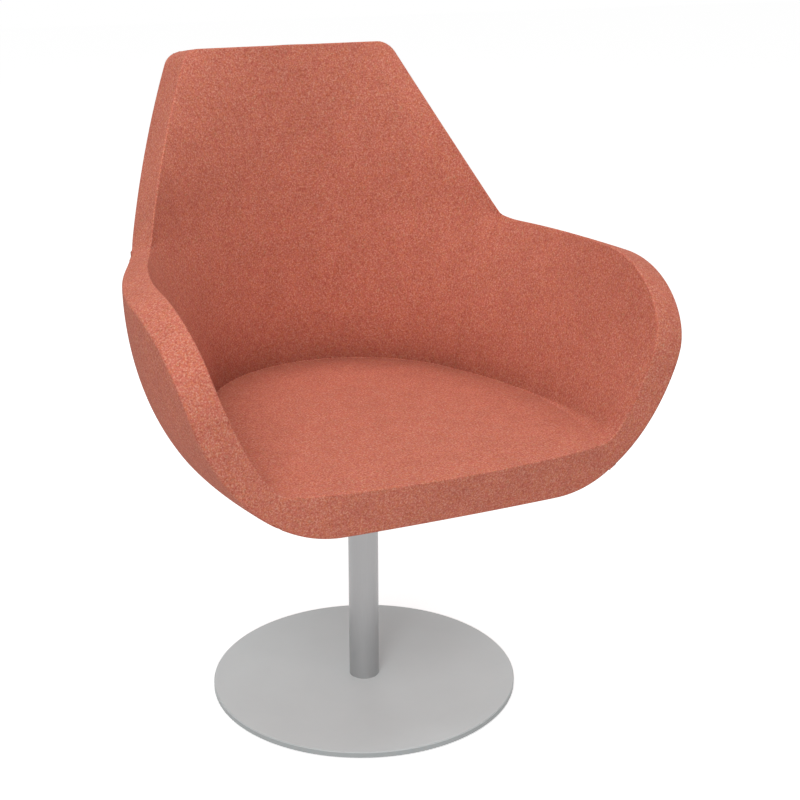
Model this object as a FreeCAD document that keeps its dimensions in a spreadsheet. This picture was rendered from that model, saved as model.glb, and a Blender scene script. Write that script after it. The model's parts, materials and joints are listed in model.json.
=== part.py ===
"""Pedestal swivel armchair: a round base disc, a column with a turning spindle and an upholstered shell.

Frame: +Z up, the floor is z = 0, the column axis is the Z axis and the chair faces -Y. Millimetres.
"""
import FreeCAD, Part
import math
import os

import Sketcher

Vector = FreeCAD.Vector
doc = FreeCAD.newDocument("armchair")

# Driving dimensions
SIZES = {
    # Base and column
    "pad_radius": 215, "pad_height": 2,
    "disc_radius": 225, "disc_height": 9, "disc_edge_round": 1.2,
    "foot_hole_radius": 6.5, "foot_sink_radius": 12.4, "foot_sink_depth": 6,
    "foot_bolt_radius": 6, "foot_bolt_length": 32, "plug_height": 30,
    "column_radius": 22, "column_wall": 2.5, "column_top": 341,
    "bush_height": 22, "bush_flange": 3, "lower_bush_level": 180,
    "running_clearance": 0.04,
    # Thrust bearing
    "race_inner_radius": 13.5, "race_height": 2, "ball_radius": 2, "ball_circle_radius": 17.75,
    "ball_gap": 0.03, "cage_height": 1.6, "cage_inner_radius": 14.6, "cage_outer_radius": 20.9,
    "ball_count": 12,
    # Spindle and mount plate
    "spindle_radius": 12.5, "spindle_foot": 166, "groove_level": 172, "groove_depth": 1.5,
    "ring_height": 1.5, "ring_radius": 16, "keeper_radius": 18.5, "keeper_height": 2,
    "hub_radius": 26, "gusset_reach": 62, "gusset_height": 20, "gusset_thickness": 4,
    "mount_plate_side": 200, "mount_plate_height": 4, "mount_plate_corner": 20,
    "mount_bolt_pitch": 150, "mount_bolt_radius": 4, "mount_hole_radius": 4.5,
    "mount_bolt_length": 17, "bolt_head_height": 5.3, "bolt_head_flats": 13,
    "washer_radius": 8, "washer_height": 1.6,
    "tee_barrel_radius": 5.5, "tee_flange_radius": 12.5, "tee_flange_height": 1.5, "tee_height": 10.5,
    # Seat board and service cover
    "board_level": 383, "board_height": 12, "board_back_radius": 190, "board_side": 190,
    "board_front_side": 160, "board_front": -272, "board_knee": -190, "board_shoulder": 20,
    "board_hip_side": 137, "board_hip": 141, "board_back_side": 57,
    "pocket_side": 230, "cover_side": 229, "cover_level": 354, "cover_height": 3, "cover_hole_radius": 30,
    "cover_screw_pitch": 210, "cover_screw_radius": 2, "cover_screw_head": 4.5, "cover_screw_head_height": 2,
    # Upholstery: seat
    "seat_level": 438, "seat_crown": 2.5, "crown_forward": 80, "crease_back": 225,
    "crease_side_centre_x": -317.4, "crease_side_centre_y": -150.3, "crease_side_radius": 565,
    "seat_front": -284, "front_bow": 25, "strip_foot": 375,
    "strip_foot_bow": 7,
    # Upholstery: rim of the arms
    "seam_line": 92, "notch_half_width": 269, "notch_level": 670,
    "arm_plan_radius": 630, "arm_widest_line": -153, "arm_widest": 318.6,
    "arm_saddle_line": 60, "arm_saddle_level": 665.5, "arm_crest_line": -120, "arm_crest_level": 663,
    "arm_front": -286, "arm_nose_level": 545,
    "front_profile_radius": 400, "front_profile_centre_x": -77.2, "front_profile_level": 704.4,
    "arm_band": 40, "notch_band": 30, "band_drop": 13,
    "wall_radius_front": 400, "wall_radius_notch": 580,
    # Upholstery: outer bowl
    "bowl_flat": 150, "bowl_level": 350, "bowl_widest_level": 652,
    "back_bowl_flat": 190, "back_bowl_depth": 300, "back_bowl_level": 670,
    # Upholstery: back
    "back_top_level": 914, "back_top_half_width": 156.5, "back_top_line": 252, "back_top_drop": 8,
    "back_top_sag": 2, "back_edge_bow": 9, "back_edge_swell": 3, "top_corner_round": 38,
    "notch_step": 16, "side_step_x": 13, "side_step_y": 55, "side_step_share": 0.16,
    "top_step_x": 14, "back_top_band": 50,
    # Covers and clearances
    "cloth": 2, "bond": 0.2,
    # Frame tubes in the foam
    "tube_radius": 8, "tube_wall": 1.5, "tube_bend": 45, "leg_bend": 30, "tube_depth": 20,
    "arm_leg_line": -180, "arm_leg_start": 110, "arm_hoop_middle": -50, "arm_hoop_end": 75,
    "arm_hoop_foot_share": 0.3, "arm_hoop_top_share": 0.86, "arm_saddle_share": 0.3,
    "back_leg_start": 80, "back_leg_line": 95, "back_knee_x": 155, "back_knee_line": 175,
    "hoop_notch_drop": 10, "hoop_notch_turn": 0.7, "hoop_top_drop": 36, "hoop_top_turn": 0.72,
    "back_saddle_share": 0.4, "saddle_radius": 15, "saddle_height": 18,
}

sheet = doc.addObject("Spreadsheet::Sheet", "Sizes")
for row, (alias, value) in enumerate(SIZES.items(), start=1):
    sheet.set(f"A{row}", alias)
    sheet.set(f"B{row}", str(value))
    sheet.setAlias(f"B{row}", alias)
doc.recompute()


def size(alias):
    """Value of a driving dimension, read from the sheet."""
    return float(getattr(sheet, alias))


NODES = []


def node(feature, label):
    """Register a finished sub-part under its node name."""
    feature.Label = label
    NODES.append(feature)
    return feature


def bind(feature, **expressions):
    for name, expression in expressions.items():
        feature.setExpression(name, expression)
    return feature


def cylinder(name, radius, height, level):
    solid = doc.addObject("Part::Cylinder", name)
    return bind(solid, Radius=radius, Height=height, **{"Placement.Base.z": level})


def cut(name, base, tool):
    result = doc.addObject("Part::Cut", name)
    result.Base = base
    result.Tool = tool
    return result


def ring(label, outer, inner, height, level):
    """Plain ring about the column axis."""
    body = cylinder(label + "_disc", outer, height, level)
    bore = cylinder(label + "_bore", inner, height, level)
    return node(cut(label + "_ring", body, bore), label)


def plane_of(body, role):
    return [item for item in body.Origin.OriginFeatures if item.Role == role][0]


def sketch_on(body, role, name):
    sketch = body.newObject("Sketcher::SketchObject", name)
    sketch.AttachmentSupport = [(plane_of(body, role), "")]
    sketch.MapMode = "FlatFace"
    return sketch


def outline(sketch, corners):
    """Closed outline of straight sides. Each corner is a pair of expressions, across and up."""
    placed = [(sheet_value(across), sheet_value(up)) for across, up in corners]
    count = len(corners)
    for index in range(count):
        start = Vector(*placed[index], 0)
        end = Vector(*placed[(index + 1) % count], 0)
        sketch.addGeometry(Part.LineSegment(start, end))
    for index in range(count):
        sketch.addConstraint(Sketcher.Constraint("Coincident", index, 2, (index + 1) % count, 1))
    for index, (across, up) in enumerate(corners):
        for kind, expression, value in (
            ("DistanceX", across, placed[index][0]),
            ("DistanceY", up, placed[index][1]),
        ):
            mark = sketch.addConstraint(Sketcher.Constraint(kind, -1, 1, index, 1, value))
            sketch.setExpression(f"Constraints[{mark}]", expression)


def sheet_value(expression):
    """Number that an expression gives."""
    value = sheet.evalExpression(expression)
    return float(getattr(value, "Value", value))


def turned(label, corners):
    """Solid of revolution about the column axis from an outline of radius and level pairs."""
    body = doc.addObject("PartDesign::Body", label + "_body")
    profile = sketch_on(body, "XZ_Plane", label + "_profile")
    outline(profile, corners)
    doc.recompute()
    turn = body.newObject("PartDesign::Revolution", label + "_turn")
    turn.Profile = profile
    turn.ReferenceAxis = (profile, ["V_Axis"])
    turn.Angle = 360
    return node(body, label)


def circle(sketch, across, up, radius):
    """Circle whose centre and radius are expressions."""
    centre = Vector(sheet_value(across), sheet_value(up), 0)
    index = sketch.addGeometry(Part.Circle(centre, Vector(0, 0, 1), sheet_value(radius)))
    for kind, expression, value in (("DistanceX", across, centre.x), ("DistanceY", up, centre.y)):
        mark = sketch.addConstraint(Sketcher.Constraint(kind, -1, 1, index, 3, value))
        sketch.setExpression(f"Constraints[{mark}]", expression)
    mark = sketch.addConstraint(Sketcher.Constraint("Radius", index, sheet_value(radius)))
    sketch.setExpression(f"Constraints[{mark}]", radius)


# Base: floor pad, disc, foot plug and bolt, column tube
PLATE_LEVEL = "Sizes.pad_height"
PLATE_TOP = "Sizes.pad_height + Sizes.disc_height"

node(cylinder("pad", "Sizes.pad_radius", "Sizes.pad_height", "0"), "floor_pad")

turned("base_plate", [
    ("Sizes.foot_sink_radius", PLATE_LEVEL),
    ("Sizes.disc_radius - Sizes.disc_edge_round", PLATE_LEVEL),
    ("Sizes.disc_radius", f"{PLATE_LEVEL} + Sizes.disc_edge_round"),
    ("Sizes.disc_radius", f"{PLATE_TOP} - Sizes.disc_edge_round"),
    ("Sizes.disc_radius - Sizes.disc_edge_round", PLATE_TOP),
    ("Sizes.foot_hole_radius", PLATE_TOP),
    ("Sizes.foot_hole_radius", f"{PLATE_LEVEL} + Sizes.foot_sink_depth"),
])

turned("foot_bolt", [
    ("0", PLATE_LEVEL),
    ("Sizes.foot_sink_radius", PLATE_LEVEL),
    ("Sizes.foot_bolt_radius", f"{PLATE_LEVEL} + Sizes.foot_sink_depth"),
    ("Sizes.foot_bolt_radius", f"{PLATE_LEVEL} + Sizes.foot_bolt_length"),
    ("0", f"{PLATE_LEVEL} + Sizes.foot_bolt_length"),
])

COLUMN_BORE = "Sizes.column_radius - Sizes.column_wall"
ring("foot_plug", COLUMN_BORE, "Sizes.foot_bolt_radius", "Sizes.plug_height", PLATE_TOP)
ring("column_tube", "Sizes.column_radius", COLUMN_BORE,
     f"Sizes.column_top - {PLATE_LEVEL} - Sizes.disc_height", PLATE_TOP)

# Column bushes: the upper one has a flange that carries the thrust bearing
BUSH_BORE = "Sizes.spindle_radius + Sizes.running_clearance"
FLANGE_TOP = "Sizes.column_top + Sizes.bush_flange"
ring("lower_bush", COLUMN_BORE, BUSH_BORE, "Sizes.bush_height", "Sizes.lower_bush_level")
turned("upper_bush", [
    (BUSH_BORE, "Sizes.column_top - Sizes.bush_height"),
    (COLUMN_BORE, "Sizes.column_top - Sizes.bush_height"),
    (COLUMN_BORE, "Sizes.column_top"),
    ("Sizes.column_radius", "Sizes.column_top"),
    ("Sizes.column_radius", FLANGE_TOP),
    (BUSH_BORE, FLANGE_TOP),
])

# Thrust bearing: two races with a cage of balls between them
RACE_OUTER = "Sizes.column_radius"
BALL_LEVEL = f"{FLANGE_TOP} + Sizes.race_height + Sizes.ball_gap + Sizes.ball_radius"
UPPER_RACE_LEVEL = f"{BALL_LEVEL} + Sizes.ball_radius + Sizes.ball_gap"
ring("lower_race", RACE_OUTER, "Sizes.race_inner_radius", "Sizes.race_height", FLANGE_TOP)
ring("upper_race", RACE_OUTER, "Sizes.race_inner_radius", "Sizes.race_height", UPPER_RACE_LEVEL)

ball_angles = [360 / size("ball_count") * index for index in range(int(size("ball_count")))]


def bearing_balls(label, radius):
    """Full circle of balls as one compound."""
    balls = []
    for angle in ball_angles:
        ball = doc.addObject("Part::Sphere", f"{label}_{int(angle)}")
        bind(ball, Radius=radius, **{
            "Placement.Base.x": f"Sizes.ball_circle_radius * cos({angle})",
            "Placement.Base.y": f"Sizes.ball_circle_radius * sin({angle})",
            "Placement.Base.z": BALL_LEVEL,
        })
        balls.append(ball)
    group = doc.addObject("Part::MultiFuse", label)
    group.Shapes = balls
    return group


node(bearing_balls("balls", "Sizes.ball_radius"), "bearing_balls")
cage_disc = cylinder("cage_disc", "Sizes.cage_outer_radius", "Sizes.cage_height",
                     f"{BALL_LEVEL} - Sizes.cage_height / 2")
cage_bore = cylinder("cage_bore", "Sizes.cage_inner_radius", "Sizes.cage_height",
                     f"{BALL_LEVEL} - Sizes.cage_height / 2")
cage_blank = cut("cage_blank", cage_disc, cage_bore)
node(cut("cage", cage_blank, bearing_balls("pockets", "Sizes.ball_radius + Sizes.ball_gap")), "ball_cage")

# Spindle with its retaining ring and washer
PLATE_UNDERSIDE = "Sizes.board_level - Sizes.mount_plate_height"
GROOVE_RADIUS = "Sizes.spindle_radius - Sizes.groove_depth"
GROOVE_TOP = "Sizes.groove_level + Sizes.ring_height"
turned("spindle", [
    ("0", "Sizes.spindle_foot"),
    ("Sizes.spindle_radius", "Sizes.spindle_foot"),
    ("Sizes.spindle_radius", "Sizes.groove_level"),
    (GROOVE_RADIUS, "Sizes.groove_level"),
    (GROOVE_RADIUS, GROOVE_TOP),
    ("Sizes.spindle_radius", GROOVE_TOP),
    ("Sizes.spindle_radius", PLATE_UNDERSIDE),
    ("0", PLATE_UNDERSIDE),
])
ring("retaining_ring", "Sizes.ring_radius", GROOVE_RADIUS, "Sizes.ring_height", "Sizes.groove_level")
ring("keeper_washer", "Sizes.keeper_radius", BUSH_BORE, "Sizes.keeper_height", GROOVE_TOP)

# Hub boss: a turned ring below the mount plate with four welded gussets
HUB_FOOT = f"{UPPER_RACE_LEVEL} + Sizes.race_height"
hub_body = turned("hub_boss", [
    ("Sizes.spindle_radius", HUB_FOOT),
    ("Sizes.hub_radius", HUB_FOOT),
    ("Sizes.hub_radius", PLATE_UNDERSIDE),
    ("Sizes.spindle_radius", PLATE_UNDERSIDE),
])
web = sketch_on(hub_body, "XZ_Plane", "gusset_web")
outline(web, [
    ("Sizes.hub_radius - 1", f"{PLATE_UNDERSIDE} - Sizes.gusset_height"),
    ("Sizes.gusset_reach", PLATE_UNDERSIDE),
    ("Sizes.hub_radius - 1", PLATE_UNDERSIDE),
])
doc.recompute()
gusset = hub_body.newObject("PartDesign::Pad", "gusset")
gusset.Profile = web
gusset.SideType = "Symmetric"
bind(gusset, Length="Sizes.gusset_thickness")
doc.recompute()
gussets = hub_body.newObject("PartDesign::PolarPattern", "gussets")
gussets.Originals = [gusset]
gussets.Axis = (web, ["V_Axis"])
gussets.Angle = 360
gussets.Occurrences = 4
hub_body.Tip = gussets

# Mount plate: square steel plate with rounded corners and four bolt holes
plate_body = doc.addObject("PartDesign::Body", "mount_plate_body")
plate_sketch = sketch_on(plate_body, "XY_Plane", "mount_plate_outline")
half = "Sizes.mount_plate_side / 2"
outline(plate_sketch, [(f"-{half}", f"-{half}"), (half, f"-{half}"), (half, half), (f"-{half}", half)])
doc.recompute()
plate_pad = plate_body.newObject("PartDesign::Pad", "mount_plate_pad")
plate_pad.Profile = plate_sketch
bind(plate_pad, Length="Sizes.mount_plate_height")
doc.recompute()
upright = [
    f"Edge{number}" for number, edge in enumerate(plate_pad.Shape.Edges, start=1)
    if abs(edge.tangentAt(edge.FirstParameter).z) > 0.9
]
plate_round = plate_body.newObject("PartDesign::Fillet", "mount_plate_corners")
plate_round.Base = (plate_pad, upright)
bind(plate_round, Radius="Sizes.mount_plate_corner")
doc.recompute()
hole_sketch = sketch_on(plate_body, "XY_Plane", "mount_plate_hole")
pitch = "Sizes.mount_bolt_pitch / 2"
circle(hole_sketch, pitch, pitch, "Sizes.mount_hole_radius")
doc.recompute()
plate_hole = plate_body.newObject("PartDesign::Pocket", "mount_plate_pocket")
plate_hole.Profile = hole_sketch
plate_hole.Type = "ThroughAll"
plate_hole.Reversed = True
doc.recompute()
plate_holes = plate_body.newObject("PartDesign::PolarPattern", "mount_plate_holes")
plate_holes.Originals = [plate_hole]
plate_holes.Axis = (hole_sketch, ["N_Axis"])
plate_holes.Angle = 360
plate_holes.Occurrences = 4
plate_body.Tip = plate_holes
bind(plate_body, **{"Placement.Base.z": PLATE_UNDERSIDE})
node(plate_body, "mount_plate")

# Mount bolts, washers and tee nuts at the plate's four holes
corner_signs = [(1, 1), (-1, 1), (-1, -1), (1, -1)]


def at_corner(feature, spread, sign_x, sign_y):
    """Move a feature out to one corner of a square pattern."""
    return bind(feature, **{
        "Placement.Base.x": f"{sign_x} * {spread} / 2",
        "Placement.Base.y": f"{sign_y} * {spread} / 2",
    })


WASHER_LEVEL = f"{PLATE_UNDERSIDE} - Sizes.washer_height"
HEAD_LEVEL = f"{WASHER_LEVEL} - Sizes.bolt_head_height"
BOARD_TOP = "Sizes.board_level + Sizes.board_height"
for number, (sign_x, sign_y) in enumerate(corner_signs, start=1):
    spread = "Sizes.mount_bolt_pitch"
    head = doc.addObject("Part::Prism", f"bolt_head_{number}")
    head.Polygon = 6
    bind(head, Circumradius="Sizes.bolt_head_flats / 2 / cos(30)", Height="Sizes.bolt_head_height",
         **{"Placement.Base.z": HEAD_LEVEL})
    shank = cylinder(f"bolt_shank_{number}", "Sizes.mount_bolt_radius", "Sizes.mount_bolt_length",
                     WASHER_LEVEL)
    bolt = doc.addObject("Part::Fuse", f"bolt_{number}")
    bolt.Base = at_corner(head, spread, sign_x, sign_y)
    bolt.Tool = at_corner(shank, spread, sign_x, sign_y)
    node(bolt, f"mount_bolt_{number}")
    rim = cylinder(f"washer_disc_{number}", "Sizes.washer_radius", "Sizes.washer_height", WASHER_LEVEL)
    bore = cylinder(f"washer_bore_{number}", "Sizes.mount_bolt_radius", "Sizes.washer_height", WASHER_LEVEL)
    washer = cut(f"washer_{number}", at_corner(rim, spread, sign_x, sign_y),
                 at_corner(bore, spread, sign_x, sign_y))
    node(washer, f"bolt_washer_{number}")
    barrel = cylinder(f"tee_barrel_{number}", "Sizes.tee_barrel_radius", "Sizes.tee_height",
                      f"{BOARD_TOP} - Sizes.tee_height")
    flange = cylinder(f"tee_flange_{number}", "Sizes.tee_flange_radius", "Sizes.tee_flange_height",
                      f"{BOARD_TOP} - Sizes.tee_flange_height")
    tee_body = doc.addObject("Part::Fuse", f"tee_body_{number}")
    tee_body.Base = at_corner(barrel, spread, sign_x, sign_y)
    tee_body.Tool = at_corner(flange, spread, sign_x, sign_y)
    thread = cylinder(f"tee_bore_{number}", "Sizes.mount_bolt_radius", "Sizes.board_height",
                      "Sizes.board_level")
    tee = cut(f"tee_{number}", tee_body, at_corner(thread, spread, sign_x, sign_y))
    node(tee, f"tee_nut_{number}")

# Seat board: plywood with counterbored holes for the tee nuts
board_body = doc.addObject("PartDesign::Body", "board_body")
board_sketch = sketch_on(board_body, "XY_Plane", "board_outline")
outline(board_sketch, [
    ("-Sizes.board_front_side", "Sizes.board_front"),
    ("Sizes.board_front_side", "Sizes.board_front"),
    ("Sizes.board_side", "Sizes.board_knee"),
    ("Sizes.board_side", "Sizes.board_shoulder"),
    ("Sizes.board_hip_side", "Sizes.board_hip"),
    ("Sizes.board_back_side", "Sizes.board_back_radius"),
    ("-Sizes.board_back_side", "Sizes.board_back_radius"),
    ("-Sizes.board_hip_side", "Sizes.board_hip"),
    ("-Sizes.board_side", "Sizes.board_shoulder"),
    ("-Sizes.board_side", "Sizes.board_knee"),
])
doc.recompute()
board_pad = board_body.newObject("PartDesign::Pad", "board_pad")
board_pad.Profile = board_sketch
bind(board_pad, Length="Sizes.board_height")
bind(board_body, **{"Placement.Base.z": "Sizes.board_level"})
tee_tools = []
for number, (sign_x, sign_y) in enumerate(corner_signs, start=1):
    bore = cylinder(f"board_bore_{number}", "Sizes.tee_barrel_radius", "Sizes.board_height",
                    "Sizes.board_level")
    sink = cylinder(f"board_sink_{number}", "Sizes.tee_flange_radius", "Sizes.tee_flange_height",
                    f"{BOARD_TOP} - Sizes.tee_flange_height")
    tee_tools.append(at_corner(bore, "Sizes.mount_bolt_pitch", sign_x, sign_y))
    tee_tools.append(at_corner(sink, "Sizes.mount_bolt_pitch", sign_x, sign_y))
board_tool = doc.addObject("Part::MultiFuse", "board_holes")
board_tool.Shapes = tee_tools
node(cut("board", board_body, board_tool), "seat_board")

# Service cover below the mount plate, with its four screws
cover_blank = doc.addObject("Part::Box", "cover_blank")
bind(cover_blank, Length="Sizes.cover_side", Width="Sizes.cover_side", Height="Sizes.cover_height", **{
    "Placement.Base.x": "-Sizes.cover_side / 2",
    "Placement.Base.y": "-Sizes.cover_side / 2",
    "Placement.Base.z": "Sizes.cover_level",
})
cover_tools = [cylinder("cover_bore", "Sizes.cover_hole_radius", "Sizes.cover_height", "Sizes.cover_level")]
SCREW_SPREAD = "Sizes.cover_screw_pitch"
for number, (sign_x, sign_y) in enumerate(corner_signs, start=1):
    screw_bore = cylinder(f"cover_screw_bore_{number}", "Sizes.cover_screw_radius", "Sizes.cover_height",
                          "Sizes.cover_level")
    cover_tools.append(at_corner(screw_bore, SCREW_SPREAD, sign_x, sign_y))
    stem = cylinder(f"screw_stem_{number}", "Sizes.cover_screw_radius",
                    "Sizes.board_level - Sizes.cover_level", "Sizes.cover_level")
    cap = cylinder(f"screw_cap_{number}", "Sizes.cover_screw_head", "Sizes.cover_screw_head_height",
                   "Sizes.cover_level - Sizes.cover_screw_head_height")
    screw = doc.addObject("Part::Fuse", f"screw_{number}")
    screw.Base = at_corner(stem, SCREW_SPREAD, sign_x, sign_y)
    screw.Tool = at_corner(cap, SCREW_SPREAD, sign_x, sign_y)
    node(screw, f"cover_screw_{number}")
cover_tool = doc.addObject("Part::MultiFuse", "cover_holes")
cover_tool.Shapes = cover_tools
node(cut("cover", cover_blank, cover_tool), "service_cover")
doc.recompute()


# Upholstered forms: lofts through sections of lines and arcs
def arc(start, middle, end):
    return Part.Arc(start, middle, end).toShape()


def line(start, end):
    return Part.LineSegment(start, end).toShape()


def mirrored(point, side=-1):
    return Vector(point.x * side, point.y, point.z)


def loft(wires, straight=False):
    return Part.makeLoft(wires, True, straight)


def feature(label, shape):
    item = doc.addObject("Part::Feature", label + "_form")
    item.Shape = shape
    return node(item, label)


CLOTH = size("cloth")
FOAM_INSET = CLOTH + size("bond")
OVERCUT = 6
MATCH = 0.001
SEAM = size("seam_line")
ARM_FRONT = size("arm_front")
CREST = size("arm_crest_line")
SEAT = size("seat_level")
BOARD_LEVEL = size("board_level")
BOARD_TOP_LEVEL = BOARD_LEVEL + size("board_height")


def crease_half_width(along):
    """Half width of the seat at the foot of the arm walls, by place along Y."""
    reach = size("crease_side_radius")
    return size("crease_side_centre_x") + math.sqrt(reach ** 2 - (along - size("crease_side_centre_y")) ** 2)


def rim_level(along):
    """Height of the arms' inner rim edge: down from the notch, nearly level, a quarter ellipse."""
    saddle = size("arm_saddle_line")
    if along >= saddle:
        share = (along - saddle) / (SEAM - saddle)
        return size("arm_saddle_level") + share ** 2 * (size("notch_level") - size("arm_saddle_level"))
    if along >= CREST:
        share = (along - CREST) / (saddle - CREST)
        return size("arm_crest_level") + share * (size("arm_saddle_level") - size("arm_crest_level"))
    share = (CREST - along) / (CREST - ARM_FRONT)
    rise = size("arm_crest_level") - size("arm_nose_level")
    return size("arm_nose_level") + rise * math.sqrt(max(0.0, 1 - share ** 2))


def rim_half_width(along):
    """Half width of the arms' inner rim edge: an arc in plan, then an arc in the front view."""
    bend = size("arm_plan_radius")
    plan = size("arm_widest") - bend + math.sqrt(bend ** 2 - (along - size("arm_widest_line")) ** 2)
    rise = rim_level(along) - size("front_profile_level")
    front = size("front_profile_centre_x") + math.sqrt(size("front_profile_radius") ** 2 - rise ** 2)
    return min(plan, front)


def wall_curvature(along):
    """Curvature of the inner arm wall in section: hollow at the front, swelling at the seam."""
    front = 1 / size("wall_radius_front")
    notch = -1 / size("wall_radius_notch")
    return front + (notch - front) * (along - ARM_FRONT) / (SEAM - ARM_FRONT)


def band_width(along):
    """Width of the arm band: narrow at the notch, full from the crest forward."""
    share = max(0.0, (along - CREST) / (SEAM - CREST))
    return size("arm_band") + (size("notch_band") - size("arm_band")) * share


def bowl_foot(along):
    """Level of the underside: lowest at the back, up to the strip's foot at the front."""
    share = min(0.0, along) / ARM_FRONT
    return size("bowl_level") + (size("strip_foot") - size("bowl_level")) * share ** 2


def rim_edges(along, face, inner, outer, top):
    """Inner and outer rim edge of an arm, with the wall, bowl and band set in as asked."""
    rim_in = Vector(rim_half_width(along), face, rim_level(along))
    rim_out = rim_in + Vector(band_width(along), 0, -size("band_drop"))
    across = (rim_out - rim_in).normalize()
    down = Vector(across.z, 0, -across.x)
    return rim_in + across * inner + down * top, rim_out - across * outer + down * top


def arm_wall(along, face, inset, top=0.0):
    """Foot, middle and rim of the inner wall of an arm."""
    foot = Vector(crease_half_width(along) + inset, face, SEAT)
    rim = rim_edges(along, face, inset, 0, top)[0]
    chord = rim - foot
    normal = Vector(chord.z, 0, -chord.x).normalize()
    middle = foot + chord * 0.5 + normal * (wall_curvature(along) * chord.Length ** 2 / 8)
    return [foot, middle, rim]


def bowl_ellipse(along, inset, top=0.0):
    """Outer bowl in section: a quarter ellipse from the rim to the flat underside."""
    rim = rim_edges(along, along, 0, inset, top)[1]
    level = size("bowl_widest_level")
    drop = level - bowl_foot(along) - inset
    lift = max(0.0, (level - rim.z) / drop)
    reach = (rim.x - size("bowl_flat")) / math.sqrt(1 - lift ** 2)
    return level, drop, reach, math.asin(lift)


def bowl_points(along, face, inset, first, last, steps):
    """Points of the outer bowl from one angle to another, level at 0 and downward at 90 degrees."""
    level, drop, reach, _ = bowl_ellipse(along, inset)
    angles = [first + (last - first) * step / steps for step in range(steps + 1)]
    flat = size("bowl_flat")
    return [Vector(flat + reach * math.cos(turn), face, level - drop * math.sin(turn)) for turn in angles]


def arm_bowl(along, face, inset, foot_inset, top=0.0):
    """Outer bowl of an arm, from the rim down to below the foot of its inner wall."""
    _, _, reach, start = bowl_ellipse(along, inset, top)
    end = math.acos((crease_half_width(along) + foot_inset - size("bowl_flat")) / reach)
    points = bowl_points(along, face, inset, start, end, 4)
    points[0] = rim_edges(along, face, 0, inset, top)[1]
    return points


def arm_face(along, inset):
    """Place along Y where a section is drawn: the nose is set back, the seam end stays."""
    share = max(0.0, (CREST - along) / (CREST - ARM_FRONT))
    return along + inset * share


# Stations along the arm: close together at the notch, then even turns of the nose
TOP_STATIONS = [SEAM, 76, 60, 20, -30, -80]
NOSE_TURNS = [0, 25, 45, 62, 76, 90]
NOSE_STATIONS = [CREST + (ARM_FRONT - CREST) * math.sin(math.radians(turn)) for turn in NOSE_TURNS]
ARM_STATIONS = TOP_STATIONS + NOSE_STATIONS


def closed_wire(points, side, spans):
    """Closed section: spans says line or arc for each edge in turn, and an arc takes two points."""
    placed = [mirrored(point, side) for point in points]
    edges = []
    index = 0
    for span in spans:
        if span == "arc":
            edges.append(arc(*(placed[(index + step) % len(placed)] for step in range(3))))
            index += 2
        else:
            edges.append(line(placed[index], placed[(index + 1) % len(placed)]))
            index += 1
    return Part.Wire(edges)


def arm_block(side, inner, outer, top, front):
    """Whole arm between the seam and the front face, each face set in from the finished one."""
    wires = []
    for along in ARM_STATIONS:
        face = arm_face(along, front)
        points = arm_wall(along, face, inner, top) + arm_bowl(along, face, outer, inner, top)
        wires.append(closed_wire(points, side, ["arc", "line", "arc", "arc", "line"]))
    return loft(wires)


def arm_lining(side):
    """Inner cover of one arm: one cloth thick, from the crease to under the band."""
    wires = []
    for along in ARM_STATIONS:
        face = arm_face(along, FOAM_INSET)
        points = arm_wall(along, face, 0, FOAM_INSET) + arm_wall(along, face, CLOTH, FOAM_INSET)[::-1]
        wires.append(closed_wire(points, side, ["arc", "line", "arc", "line"]))
    return loft(wires)


def arm_outside(side):
    """Outer cover of one arm: one cloth thick, from under the band to below the crease."""
    wires = []
    for along in ARM_STATIONS:
        face = arm_face(along, FOAM_INSET)
        outer = arm_bowl(along, face, 0, FOAM_INSET, FOAM_INSET)
        inner = arm_bowl(along, face, CLOTH, FOAM_INSET, FOAM_INSET)
        wires.append(closed_wire(outer + inner[::-1], side, ["arc", "arc", "line", "arc", "arc", "line"]))
    return loft(wires)


def arm_band(side):
    """Band cover of one arm: the top and the front face, one cloth thick."""
    whole = arm_block(side, 0, 0, 0, 0)
    rest = arm_block(side, -OVERCUT, -OVERCUT, CLOTH, CLOTH)
    return whole.cut(rest)


# Back: level sections, each with an inner and an outer arc
BACK_TOP = size("back_top_level")
NOTCH_LEVEL = size("notch_level")
NOTCH_WIDTH = size("notch_half_width")


def inner_centre_line(level):
    """Place along Y of the back's inner face on the centre plane: a straight, slightly raked line."""
    share = max(0.0, (level - SEAT) / (BACK_TOP - SEAT))
    return size("crease_back") + share * (size("back_top_line") - size("crease_back"))


def outer_centre_line(level):
    """Place along Y of the back's outer face on the centre plane."""
    depth = size("back_bowl_depth")
    waist = size("back_bowl_level")
    if level >= waist:
        share = (level - waist) / (BACK_TOP - waist)
        top = size("back_top_line") + size("back_top_band")
        return depth + share * (top - depth)
    share = (waist - level) / (waist - size("bowl_level"))
    return size("back_bowl_flat") + (depth - size("back_bowl_flat")) * math.sqrt(max(0.0, 1 - share ** 2))


def seam_outer_width(level, inset=0.0):
    """Half width of the outer bowl in the seam plane."""
    widest, drop, reach, _ = bowl_ellipse(SEAM, inset)
    lift = min(1.0, max(0.0, (widest - level) / drop))
    return size("bowl_flat") + reach * math.sqrt(1 - lift ** 2)


def level_arc(end, centre_line, inset, level):
    """Right end, middle and left end of a level arc, with its middle moved by the inset."""
    return [Vector(end.x, end.y, level), Vector(0, centre_line + inset, level), Vector(-end.x, end.y, level)]


def notch_step():
    """Step across the band at the notch: its outer end lies on the bowl's arc at that level."""
    widest = seam_outer_width(NOTCH_LEVEL)
    centre_line = outer_centre_line(NOTCH_LEVEL)
    sag = centre_line - SEAM
    bend = (widest ** 2 + sag ** 2) / (2 * sag)
    outer_x = NOTCH_WIDTH + size("notch_step")
    outer_y = centre_line - bend + math.sqrt(bend ** 2 - outer_x ** 2)
    return Vector(size("notch_step"), outer_y - SEAM, 0)


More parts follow.
